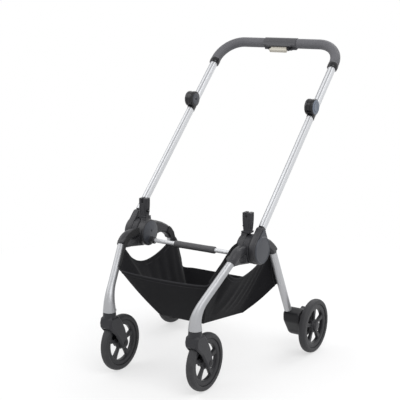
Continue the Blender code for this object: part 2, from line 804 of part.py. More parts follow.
def build_crossbar(metal, sleeve_material):
    """Bar between the two hubs and the soft sleeve over its middle."""
    centre = world(0, CROSSBAR_Y, CROSSBAR_Z)
    end = LUG_IN_X - GAP
    shade(rod("crossbar", CROSSBAR_R, -end, end, centre, TUBE_STEPS), metal)
    half = [(CROSSBAR_R + GAP, SLEEVE_HALF), (SLEEVE_R - SLEEVE_LIP, SLEEVE_HALF),
            (SLEEVE_R, SLEEVE_HALF - SLEEVE_LIP)]
    profile = half + [(radius, -along) for radius, along in reversed(half)]
    shade(lathe("crossbar_sleeve", profile, TUBE_STEPS, centre), sleeve_material)


# Casters.

def from_foot(offsets):
    """Side points given from the swivel axis and the foot of the front leg."""
    return [(SWIVEL_Y + back, LEG_FOOT_Z + up) for back, up in offsets]


def fork_outline():
    """Side view of the caster fork: from the head back and down to the axle."""
    tip = arc((0.0, WHEEL_R), FORK_TIP_R, *FORK_TIP_ANGLES, 6)
    return side_outline(from_foot(FORK_REAR) + tip + from_foot(FORK_FRONT))


def head_profile():
    """Round head of the fork, a little wider than the foot of the leg."""
    return [(0, LEG_FOOT_Z - HEAD_LOW), (LEG_FOOT_R - HEAD_FOOT_INSET, LEG_FOOT_Z - HEAD_LOW),
            (LEG_FOOT_R + HEAD_BULGE, LEG_FOOT_Z - HEAD_WAIST), (LEG_FOOT_R, LEG_FOOT_Z - HEAD_SHOULDER),
            (LEG_FOOT_R - HEAD_TOP_INSET, LEG_FOOT_Z - HEAD_TOP), (0, LEG_FOOT_Z - HEAD_TOP)]


def build_fork(name, side, material):
    """Caster fork: round head under the leg and an arm down each side of the wheel."""
    fork = soften(plate(name, fork_outline(), FRONT_X - FORK_HALF, FRONT_X + FORK_HALF), FORK_ROUND, 1)
    axle = world(0, 0, WHEEL_R)
    room_half = HUB_HALF + STAGGER
    head_centre = world(FRONT_X, SWIVEL_Y, 0)
    add(fork, lathe("head", head_profile(), HUB_STEPS, head_centre, "Z"))
    cut(fork, rod("wheel_room", WHEEL_R + TYRE_PLAY, FRONT_X - room_half, FRONT_X + room_half,
                  axle, WHEEL_STEPS))
    cut(fork, rod("stem_room", STEM_R + GAP, LEG_FOOT_Z - STEM_FLOOR, LEG_FOOT_Z + STEM_R,
                  head_centre, AXLE_STEPS, "Z"))
    cut(fork, rod("axle_room", AXLE_R + GAP, FRONT_X - OVERCUT, FRONT_X + OVERCUT, axle, AXLE_STEPS))
    transform(fork, Matrix.Scale(side, 4, (1, 0, 0)))
    shade(fork, material)
    return set_origin(fork, mirror_x(world(FRONT_X, SWIVEL_Y, WHEEL_R), side))


def build_caster(label, side, materials):
    """Everything below one front leg."""
    prefix = "front_" + label
    build_fork(prefix + "_fork", side, materials["black"])
    foot = mirror_x(world(FRONT_X, SWIVEL_Y, LEG_FOOT_Z), side)
    stem = rod(prefix + "_swivel_stem", STEM_R, STAGGER - STEM_FLOOR, -GAP, foot, AXLE_STEPS, "Z")
    shade(stem, materials["steel"])
    axle_centre = mirror_x(world(FRONT_X, 0, WHEEL_R), side)
    axle = rod(prefix + "_axle", AXLE_R, GAP - FORK_HALF, FORK_HALF - GAP, axle_centre, AXLE_STEPS,
               chamfer=AXLE_CHAMFER)
    shade(axle, materials["steel"])
    build_wheel(prefix, axle_centre, materials["wheel"], materials["rubber"])
    behind = LEG_FOOT_R + HEAD_BULGE
    lock = box(prefix + "_swivel_lock", foot + Vector((-LOCK_HALF, behind, -LOCK_LOW)),
               foot + Vector((LOCK_HALF, behind + LOCK_DEEP, LOCK_HIGH)))
    soften(lock, LOCK_ROUND)
    shade(lock, materials["black"])


# Rear frame.

def rear_leg_axis():
    return (Vector(REAR_LEG_FOOT) - Vector(REAR_LEG_TOP)).normalized()


def leg_end(end, length, back_wall, front_wall):
    """Edges of a socket at one end of the rear leg, in the side view, rear edge first."""
    down = rear_leg_axis()
    along = Vector((down.y, down.z)).normalized()
    across = Vector((-along.y, along.x))
    middle = Vector((end[1], end[2])) + along * length
    return (middle + across * (REAR_LEG_R + back_wall), middle - across * (REAR_LEG_R + front_wall))


def arm_outline():
    """Arched arm from the hub back to the top of the rear leg."""
    outer, inner = leg_end(REAR_LEG_TOP, -GAP, ARM_WALL, ARM_WALL)
    return side_outline(from_hub(ARM_BACK) + [tuple(outer), tuple(inner)] + from_hub(ARM_BELLY))


def build_rear_arm(name, side, material):
    """Disc that turns in the hub, with the arm that carries the rear leg."""
    arm = soften(plate(name, arm_outline(), ARM_IN_X, ARM_OUT_X), ARM_ROUND, 1)
    cut(arm, rod("boss_room", BOSS_R + ARM_PLAY, ARM_IN_X - OVERCUT, REAR_DISC_IN_X + STAGGER,
                 HUB, HUB_STEPS))
    add(arm, rod("disc", REAR_DISC_R, REAR_DISC_IN_X, REAR_DISC_OUT_X, HUB, HUB_STEPS,
                 chamfer=REAR_DISC_CHAMFER))
    cut(arm, rod("bore", HUB_PIN_R + GAP, HUB_INNER_X, HANDLE_DISC_OUT_X, HUB, TUBE_STEPS))
    transform(arm, Matrix.Scale(side, 4, (1, 0, 0)))
    shade(arm, material)
    return set_origin(arm, HUB)


def build_rear_leg(name, side, material):
    top, foot = world(*REAR_LEG_TOP), world(*REAR_LEG_FOOT)
    tangent = foot - top
    tangent.x = 0.0
    stations = [(point, tangent, REAR_LEG_R, REAR_LEG_R) for point in (top, foot)]
    leg = sweep(name, stations, LEG_STEPS, TUBE_WALL)
    transform(leg, Matrix.Scale(side, 4, (1, 0, 0)))
    return shade(leg, material)


def housing_outline():
    """Wheel housing: brake drum round the axle, stretched forward and up to the leg's foot."""
    outer, inner = leg_end(REAR_LEG_FOOT, GAP, DRUM_SEAT_BACK, DRUM_SEAT_FRONT)
    knee = inner + Vector(DRUM_KNEE)
    shoulder = outer + Vector(DRUM_SHOULDER)
    drum = arc((REAR_Y, WHEEL_R), DRUM_R, *DRUM_ANGLES, 16)
    return side_outline([tuple(outer), tuple(inner), tuple(knee)] + drum + [tuple(shoulder)])


def build_rear_housing(name, side, material):
    body = soften(plate(name, housing_outline(), DRUM_IN_X, DRUM_OUT_X), DRUM_ROUND)
    start = DRUM_IN_X + AXLE_SEAT - PIN_END_PLAY
    cut(body, rod("bore", AXLE_R + GAP, start, REAR_X, world(0, REAR_Y, WHEEL_R), AXLE_STEPS))
    transform(body, Matrix.Scale(side, 4, (1, 0, 0)))
    return shade(body, material)


def pedal_outline():
    """Brake pedal: a band round the drum with a tread that stands out to the rear."""
    centre = (REAR_Y, WHEEL_R)
    outer, far = DRUM_R + PEDAL_BAND, DRUM_R + PEDAL_REACH
    low, high = BAND_ANGLES
    band = arc(centre, DRUM_R + PEDAL_PLAY, high, low, 6)
    tread = []
    for radius, angle in ((outer, low), (outer, TREAD_ROOT_ANGLES[0]), (far, TREAD_TIP_ANGLES[0]),
                          (far, TREAD_TIP_ANGLES[1]), (outer, TREAD_ROOT_ANGLES[1]), (outer, high)):
        tread.append(arc(centre, radius, angle, angle, 1)[0])
    return side_outline(band + tread)


def build_brake_pedal(material):
    pedal = plate("brake_pedal", pedal_outline(), PEDAL_IN_X, PEDAL_OUT_X)
    soften(pedal, PEDAL_ROUND, 1)
    shade(pedal, material)
    return set_origin(pedal, world((PEDAL_IN_X + PEDAL_OUT_X) / 2, REAR_Y, WHEEL_R))


def build_rear_side(label, side, materials):
    prefix = "rear_" + label
    build_rear_arm(prefix + "_arm", side, materials["black"])
    build_rear_leg(prefix + "_leg", side, materials["silver"])
    build_rear_housing(prefix + "_housing", side, materials["black"])
    axle = rod(prefix + "_axle", AXLE_R, DRUM_IN_X + AXLE_SEAT, REAR_X + HUB_HALF + AXLE_END,
               world(0, REAR_Y, WHEEL_R), AXLE_STEPS, chamfer=AXLE_CHAMFER)
    transform(axle, Matrix.Scale(side, 4, (1, 0, 0)))
    shade(axle, materials["steel"])
    build_wheel(prefix, mirror_x(world(REAR_X, REAR_Y, WHEEL_R), side),
                materials["wheel"], materials["rubber"])


# Handle.

def socket_outline():
    """Teardrop socket in the handle frame, from the hub axis up to the foot of the tube."""
    hub_axis = (TUBE_FORWARD * math.cos(TUBE_LEAN), TUBE_FORWARD * math.sin(TUBE_LEAN))
    half = TUBE_HALF_Y + SOCKET_WALL
    return [hub_axis, *SOCKET_BACK, (half, SOCKET_TOP), (-half, SOCKET_TOP), *SOCKET_FRONT]


def build_handle_hub(name, side, material):
    """Outer disc of the hub joint and the teardrop socket that holds the lower tube."""
    socket = plate(name, socket_outline(), HANDLE_DISC_IN_X, HANDLE_DISC_OUT_X + SOCKET_PROUD)
    soften(socket, SOCKET_ROUND, 1)
    to_handle(socket)
    disc = rod("disc", HANDLE_DISC_R, HANDLE_DISC_IN_X, HANDLE_DISC_OUT_X, HUB, HUB_STEPS,
               chamfer=HANDLE_DISC_CHAMFER)
    add(socket, disc)
    cut(socket, rod("cover_room", COVER_R + GAP, HANDLE_DISC_OUT_X - GAP, HANDLE_DISC_OUT_X + OVERCUT,
                    HUB, HUB_STEPS))
    cut(socket, rod("bore", HUB_PIN_R + GAP, BOSS_OUT_X, HANDLE_DISC_OUT_X - PIN_CAP, HUB, TUBE_STEPS))
    transform(socket, Matrix.Scale(side, 4, (1, 0, 0)))
    shade(socket, material)
    return set_origin(socket, HUB)


def build_hub_cover(name, side, material):
    """Plain dished cap over the outer face of the hub joint."""
    rim_r = COVER_R - COVER_BEVEL
    dish_r = rim_r - COVER_LIP
    floor = COVER_OUT_X - COVER_DISH
    seat = HANDLE_DISC_OUT_X
    profile = [(0, seat), (COVER_R, seat), (COVER_R, seat + COVER_EDGE), (rim_r, COVER_OUT_X),
               (dish_r, COVER_OUT_X), (dish_r - COVER_STEP, floor), (0, floor)]
    cover = lathe(name, profile, HUB_STEPS, HUB)
    transform(cover, Matrix.Scale(side, 4, (1, 0, 0)))
    return shade(cover, material)


def straight_tube(name, side, low, high, material):
    stations = [(handle_point(TUBE_X * side, 0, along), HANDLE_TILT @ Vector((0, 0, 1)),
                 TUBE_HALF_X, TUBE_HALF_Y) for along in (low, high)]
    return shade(sweep(name, stations, TUBE_STEPS, TUBE_WALL), material)


def upper_path(start, stop=0.0, steps=6):
    """Stations of the bent bar in the handle frame, from the left leg round to the given x."""
    corner_x = TUBE_X - BEND_R
    points = [(Vector((TUBE_X, 0, start)), Vector((0, 0, 1)))]
    for step in range(steps + 1):
        angle = math.pi / 2 * step / steps
        across, along = math.cos(angle), math.sin(angle)
        centre = Vector((corner_x + BEND_R * across, 0, BAR_AT - BEND_R + BEND_R * along))
        points.append((centre, Vector((-along, 0, across))))
    points.append((Vector((stop, 0, BAR_AT)), Vector((-1, 0, 0))))
    return points


def sweep_bar(name, points, radius, wall):
    """Round tube in the handle frame, with a wall inside it."""
    bm = bmesh.new()
    shells = []
    across = Vector((0, 1, 0))
    for size in (radius, radius - wall):
        rings = []
        for centre, tangent in points:
            side = across.cross(tangent).normalized()
            angles = [math.tau * step / BAR_STEPS for step in range(BAR_STEPS)]
            offsets = [side * math.cos(angle) + across * math.sin(angle) for angle in angles]
            rings.append([bm.verts.new(centre + offset * size) for offset in offsets])
        shells.append(rings)
    for rings in shells:
        for low, high in zip(rings, rings[1:]):
            skin_between(bm, low, high)
    for end in (0, -1):
        skin_between(bm, shells[0][end], shells[1][end])
    return finish_mesh(bm, name)


def build_upper_tube(material):
    """One tube bent into the pushing bar, from knuckle to knuckle."""
    left = upper_path(KNUCKLE_AT + KNUCKLE_TOP + GAP)
    right = [(Vector((-p.x, p.y, p.z)), Vector((t.x, t.y, -t.z))) for p, t in reversed(left[:-1])]
    tube = sweep_bar("handle_upper_tube", left[:-1] + right, UPPER_TUBE_R, TUBE_WALL)
    to_handle(tube)
    return shade(tube, material)


def build_grip(name, side, material):
    """Soft sleeve from the leg of the bar round its bend to the release unit."""
    points = upper_path(BAR_AT - GRIP_DROP + COLLAR_LENGTH + GAP, HOUSING_HALF + GAP)
    sleeve = sweep_bar(name, points, GRIP_R, GRIP_R - UPPER_TUBE_R - GAP)
    to_handle(sleeve)
    transform(sleeve, Matrix.Scale(side, 4, (1, 0, 0)))
    return shade(sleeve, material)


def build_collar(name, side, material):
    """Glossy ring that closes the lower end of a grip."""
    low = BAR_AT - GRIP_DROP
    high = low + COLLAR_LENGTH
    inner = UPPER_TUBE_R + GAP
    profile = [(inner, low), (COLLAR_R - COLLAR_LIP, low), (COLLAR_R, low + COLLAR_RAMP),
               (COLLAR_R, high), (inner, high)]
    ring = lathe(name, profile, TUBE_STEPS, (0, 0, 0), "Z")
    to_handle(ring, TUBE_X * side)
    return shade(ring, material)


def build_knuckle_lower(name, side, material):
    """Two cheeks on the lower tube that hold the tongue between them."""
    half = TUBE_HALF_Y + FOOT_WALL
    foot = [(KNUCKLE_FORWARD - half, -KNUCKLE_SOCKET), (KNUCKLE_FORWARD + half, -KNUCKLE_SOCKET),
            (KNUCKLE_FORWARD + half, -KNUCKLE_HEEL)]
    drum = plate(name, arc((0, 0), KNUCKLE_R, *KNUCKLE_ANGLES, 16) + foot, -KNUCKLE_HALF, KNUCKLE_HALF)
    soften(drum, KNUCKLE_ROUND, 1)
    reach = KNUCKLE_R + OVERCUT
    slot = arc((0, 0), KNUCKLE_R + TONGUE_PLAY, *SLOT_ANGLES, 12) + [(reach, reach), (-reach, reach)]
    cut(drum, plate("tongue_room", slot, -TONGUE_HALF - GAP, TONGUE_HALF + GAP))
    floor = KNUCKLE_HALF - BUTTON_SEAT - BUTTON_TRAVEL - STAGGER
    cut(drum, rod("button_room", BUTTON_R + GAP, floor, KNUCKLE_HALF + OVERCUT, (0, 0, 0), PAD_STEPS))
    cut(drum, rod("pin_hole", PIN_HOLE_R, -KNUCKLE_HALF - OVERCUT, PIN_HOLE_DEPTH - KNUCKLE_HALF,
                  (0, 0, 0), BAR_STEPS))
    transform(drum, Matrix.Scale(side, 4, (1, 0, 0)))
    to_handle(drum, TUBE_X * side, KNUCKLE_AT, -KNUCKLE_FORWARD)
    return shade(drum, material)


def neck_outline():
    """Neck from the tongue's disc up into the cap that holds the upper tube."""
    front, rear = KNUCKLE_FORWARD - NECK_HALF, KNUCKLE_FORWARD + NECK_HALF
    top = KNUCKLE_SOCKET + NECK_SEAT
    return [(-NECK_LOW, NECK_LOW), (KNUCKLE_FORWARD, NECK_LOW), (rear, NECK_RISE), (rear, top),
            (front, top)]


def build_knuckle_upper(name, side, material):
    """Tongue and socket on the upper tube."""
    tongue = rod(name, TONGUE_R, -TONGUE_HALF, TONGUE_HALF, (0, 0, 0), PAD_STEPS)
    add(tongue, plate("neck", neck_outline(), -TONGUE_HALF, TONGUE_HALF))
    half = UPPER_TUBE_R + CAP_WALL
    socket = box("socket", (-UPPER_TUBE_R, KNUCKLE_FORWARD - half, KNUCKLE_SOCKET),
                 (UPPER_TUBE_R, KNUCKLE_FORWARD + half, KNUCKLE_TOP))
    add(tongue, soften(socket, CAP_ROUND))
    transform(tongue, Matrix.Scale(side, 4, (1, 0, 0)))
    to_handle(tongue, TUBE_X * side, KNUCKLE_AT, -KNUCKLE_FORWARD)
    shade(tongue, material)
    return set_origin(tongue, handle_point(TUBE_X * side, -KNUCKLE_FORWARD, KNUCKLE_AT))


def build_knuckle_button(name, side, material):
    """Round push button in the outer cheek."""
    base, top = KNUCKLE_HALF - BUTTON_SEAT, KNUCKLE_HALF + BUTTON_PROUD
    profile = [(0, base), (BUTTON_R, base), (BUTTON_R, top - BUTTON_EDGE), (BUTTON_R - BUTTON_LIP, top),
               (0, top)]
    button = lathe(name, profile, PAD_STEPS, (0, 0, 0))
    transform(button, Matrix.Scale(side, 4, (1, 0, 0)))
    to_handle(button, TUBE_X * side, KNUCKLE_AT, -KNUCKLE_FORWARD)
    return shade(button, material)


def shell_outline(sign):
    """Half of the release housing in the handle frame; the sign is -1 for the front half."""
    stem_room = LEVER_STEM_DEEP + STAGGER
    outer = arc((0, 0), HOUSING_R, *SHELL_ANGLES, 8)
    lip = [(HOUSING_LIP, -HOUSING_DROP), (stem_room, -HOUSING_DROP), (stem_room, -HOUSING_FLOOR),
           (GAP / 2, -HOUSING_FLOOR)]
    bore = arc((0, 0), UPPER_TUBE_R + GAP, *BORE_ANGLES, 8)
    return [(sign * max(across, GAP / 2), along) for across, along in outer + lip + bore]


def build_release_unit(materials):
    """Housing halves round the middle of the bar, squeeze lever and safety slider."""
    for name, sign in (("release_housing_front", -1), ("release_housing_rear", 1)):
        shell = plate(name, shell_outline(sign), -HOUSING_HALF, HOUSING_HALF)
        for end in (-1, 1):
            inner, outer = sorted((end * HOUSING_STEP_X, end * (HOUSING_HALF + HOUSING_DROP)))
            cut(shell, box("end_room", (inner, -OVERCUT, -LEVER_FOOT), (outer, OVERCUT, -HOUSING_STEP)))
        to_handle(shell, 0, BAR_AT)
        shade(shell, materials["charcoal"])
    build_lever(materials["pale"])
    slider = box("release_slider", (LEVER_HALF + SLIDER_AWAY, -SLIDER_DEEP, -SLIDER_LOW),
                 (LEVER_HALF + SLIDER_AWAY + SLIDER_LONG, SLIDER_DEEP, -SLIDER_HIGH))
    soften(slider, SLIDER_ROUND, 1)
    to_handle(slider, 0, BAR_AT)
    shade(slider, materials["black"])


def build_lever(material):
    """Squeeze lever under the bar, with the stem that runs up into the housing."""
    lever = box("release_lever", (-LEVER_HALF, -LEVER_DEEP, -LEVER_FOOT),
                (LEVER_HALF, LEVER_DEEP, -LEVER_TOP))
    soften(lever, LEVER_ROUND)
    stem = box("stem", (-LEVER_STEM_HALF, -LEVER_STEM_DEEP, -LEVER_TOP - LEVER_STEM_SEAT),
               (LEVER_STEM_HALF, LEVER_STEM_DEEP, -LEVER_STEM_TOP))
    add(lever, stem)
    to_handle(lever, 0, BAR_AT)
    return shade(lever, material)


def build_handle_side(label, side, materials):
    build_handle_hub("hub_" + label + "_handle_socket", side, materials["charcoal"])
    build_hub_cover("hub_" + label + "_cover", side, materials["blue"])
    straight_tube("handle_" + label + "_lower_tube", side, SOCKET_TOP + GAP,
                  KNUCKLE_AT - KNUCKLE_SOCKET - GAP, materials["silver"])
    build_knuckle_lower("knuckle_" + label + "_cheeks", side, materials["black"])
    build_knuckle_upper("knuckle_" + label + "_tongue", side, materials["black"])
    build_knuckle_button("knuckle_" + label + "_button", side, materials["blue"])
    build_grip("grip_" + label, side, materials["grip"])
    build_collar("grip_" + label + "_collar", side, materials["black"])


# Basket.

def floor_point(hem, index):
    """Point on the edge of the basket floor that hangs below a hem point."""
    front, rear = Vector(FLOOR_FRONT), Vector(FLOOR_REAR)
    last = len(hem) - 1
    if index <= FRONT_RUN:
        return Vector((front.x * index / FRONT_RUN, front.y, front.z))
    if index >= last - REAR_RUN:
        return Vector((rear.x * (last - index) / REAR_RUN, rear.y, rear.z))
    start = hem[FRONT_RUN].y
    share = (hem[index].y - start) / (hem[last - REAR_RUN].y - start)
    return front.lerp(rear, share)


def basket_rows():
    """Rows of points round the basket, from the hem down to the middle of its floor."""
    hem = [Vector(point) for point in HEM]
    edge = [floor_point(hem, index) for index in range(len(hem))]
    rows = []
    for share in WALL_SHARES:
        row = []
        for top, foot in zip(hem, edge):
            point = top.lerp(foot, share)
            point.z -= WALL_SAG * math.sin(math.pi * share)
            row.append(point)
        rows.append(row)
    middle = (Vector(FLOOR_FRONT) + Vector(FLOOR_REAR)) / 2
    middle = Vector((0, middle.y, middle.z - FLOOR_SAG))
    rows.append([point.lerp(Vector((0, point.y, middle.z)), 0.5).lerp(middle, 0.3) for point in edge])
    return rows, middle


def build_basket(material):
    """Cloth basket hung between the front and rear legs, open at the top."""
    half_rows, middle = basket_rows()
    bm = bmesh.new()
    rings = []
    for row in half_rows:
        left = [bm.verts.new(world(*point)) for point in row]
        right = [bm.verts.new(world(-point.x, point.y, point.z)) for point in reversed(row[1:-1])]
        rings.append(left + right)
    for high, low in zip(rings, rings[1:]):
        skin_between(bm, high, low)
    centre = bm.verts.new(world(*middle))
    last = rings[-1]
    for step, vert in enumerate(last):
        bm.faces.new((vert, last[(step + 1) % len(last)], centre))
    basket = finish_mesh(bm, "basket")
    modifier = basket.modifiers.new("cloth", "SOLIDIFY")
    modifier.thickness = CLOTH
    modifier.offset = 0.0
    modifier.use_even_offset = True
    bake(basket)
    return shade(basket, material, 60.0)


# Assembly.

def main():
    clear_scene()
    materials = {
        "silver": silver_tube(), "black": black_plastic(), "charcoal": grey_plastic(),
        "blue": blue_plastic(), "grip": grip_foam(), "pale": pale_plastic(), "rubber": rubber(),
        "wheel": wheel_plastic(), "steel": steel(), "cloth": basket_cloth(),
    }
    for label, side in SIDES:
        build_front_hub("hub_" + label + "_body", side, materials["charcoal"])
        build_hub_pin("hub_" + label + "_pin", side, materials["steel"])
        build_front_leg("front_" + label + "_leg", side, materials["silver"])
        build_adapter("seat_adapter_" + label, side, materials["black"])
        build_latch("seat_latch_" + label, side, materials["black"])
        build_caster(label, side, materials)
        build_rear_side(label, side, materials)
        build_handle_side(label, side, materials)
    build_crossbar(materials["silver"], materials["grip"])
    build_upper_tube(materials["silver"])
    build_release_unit(materials)
    build_brake_pedal(materials["black"])
    build_basket(materials["cloth"])


main()
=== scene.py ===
import logging
import math
from dataclasses import dataclass
from enum import Enum
from typing import Any, ClassVar, Optional, Sequence, Union

import bpy
import numpy as np
from mathutils import Matrix, Vector


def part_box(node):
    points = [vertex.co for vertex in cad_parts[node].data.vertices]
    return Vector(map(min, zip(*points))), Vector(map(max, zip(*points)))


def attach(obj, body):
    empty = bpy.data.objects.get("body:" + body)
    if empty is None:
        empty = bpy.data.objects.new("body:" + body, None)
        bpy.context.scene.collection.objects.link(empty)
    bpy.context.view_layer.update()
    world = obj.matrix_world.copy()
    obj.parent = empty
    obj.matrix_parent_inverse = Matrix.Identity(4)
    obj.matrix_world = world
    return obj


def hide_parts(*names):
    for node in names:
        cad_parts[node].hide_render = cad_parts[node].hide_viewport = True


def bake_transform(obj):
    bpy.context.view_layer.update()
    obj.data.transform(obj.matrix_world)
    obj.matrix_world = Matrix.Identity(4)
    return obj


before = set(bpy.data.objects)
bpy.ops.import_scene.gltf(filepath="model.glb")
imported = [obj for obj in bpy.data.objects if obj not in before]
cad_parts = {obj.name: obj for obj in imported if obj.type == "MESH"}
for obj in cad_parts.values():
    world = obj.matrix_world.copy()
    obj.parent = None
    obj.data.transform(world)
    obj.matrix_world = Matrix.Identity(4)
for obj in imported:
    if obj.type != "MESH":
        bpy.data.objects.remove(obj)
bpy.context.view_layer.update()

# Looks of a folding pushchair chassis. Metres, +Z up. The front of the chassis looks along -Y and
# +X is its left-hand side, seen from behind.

LOG = logging.getLogger("chassis")
Pair = tuple[float, float]
Triple = tuple[float, float, float]
# Distance at which doubles merge, and room between two pieces that fit together.
MERGE = 1e-6
FIT = 0.0003


class Side(Enum):
    """Left or right half of the chassis."""

    LEFT = 1
    RIGHT = -1

    @property
    def label(self) -> str:
        """Name of the side as the nodes write it."""
        return self.name.lower()


class Axis(Enum):
    """Direction that a turned piece is turned about."""

    ACROSS = (1.0, 0.0, 0.0)
    UPRIGHT = (0.0, 0.0, 1.0)


@dataclass(frozen=True)
class Layout:
    """Main places of the chassis, in lengths from the front axle."""

    origin_y: float = 0.336448
    wheel_radius: float = 0.090
    front_x: float = 0.1595
    swivel_y: float = -0.0520
    rear_x: float = 0.2830
    rear_y: float = 0.4755
    hub_y: float = 0.1900
    hub_z: float = 0.4062
    tube_x: float = 0.2330
    tube_foot_y: float = 0.1451
    lean: float = math.radians(45.18)
    socket_top: float = 0.0908
    knuckle_at: float = 0.5558
    knuckle_forward: float = 0.0185
    knuckle_socket: float = 0.0300
    bar_at: float = 0.8432
    bend: float = 0.0850

    def place(self, x: float, y: float, z: float) -> Vector:
        """Point given from the front axle, in the row frame.

        Args:
            x: Distance to the left of the middle.
            y: Distance behind the front axle.
            z: Height above the floor.

        Returns:
            The point in the row frame.
        """
        return Vector((x, y - self.origin_y, z))

    def beside_tube(self, x: float, across: float, along: float) -> Vector:
        """Point given from the foot of the handle's tube line.

        Args:
            x: Distance to the left of the middle.
            across: Distance behind the tube line, square to it.
            along: Distance up the tube line.

        Returns:
            The point in the row frame.
        """
        turn = Matrix.Rotation(-self.lean, 4, "X")
        return self.place(0, self.tube_foot_y, self.hub_z) + turn @ Vector((x, across, along))

    @property
    def hub(self) -> Vector:
        """Middle of the hub axis."""
        return self.place(0, self.hub_y, self.hub_z)


PLAN = Layout()


# Shader maths.


class Value:
    """A number in a shader, on which Python's operators add Math nodes."""

    def __init__(self, graph: "Graph", socket: bpy.types.NodeSocket) -> None:
        """Wrap one output socket of the graph."""
        self.graph = graph
        self.socket = socket

    def __add__(self, other: "Term") -> "Value":
        """Sum."""
        return self.graph.maths("ADD", self, other)

    def __sub__(self, other: "Term") -> "Value":
        """Difference."""
        return self.graph.maths("SUBTRACT", self, other)

    def __rsub__(self, other: "Term") -> "Value":
        """Difference from a number."""
        return self.graph.maths("SUBTRACT", other, self)

    def __mul__(self, other: "Term") -> "Value":
        """Product."""
        return self.graph.maths("MULTIPLY", self, other)

    def __pow__(self, other: "Term") -> "Value":
        """Power."""
        return self.graph.maths("POWER", self, other)

    __radd__ = __add__
    __rmul__ = __mul__

    def sine(self) -> "Value":
        """Sine of the value in radians."""
        return self.graph.maths("SINE", self)

    def clamp(self) -> "Value":
        """The value kept from 0 to 1."""
        return self.graph.maths("ADD", self, 0.0, clamp=True)


Term = Union[Value, float, int]


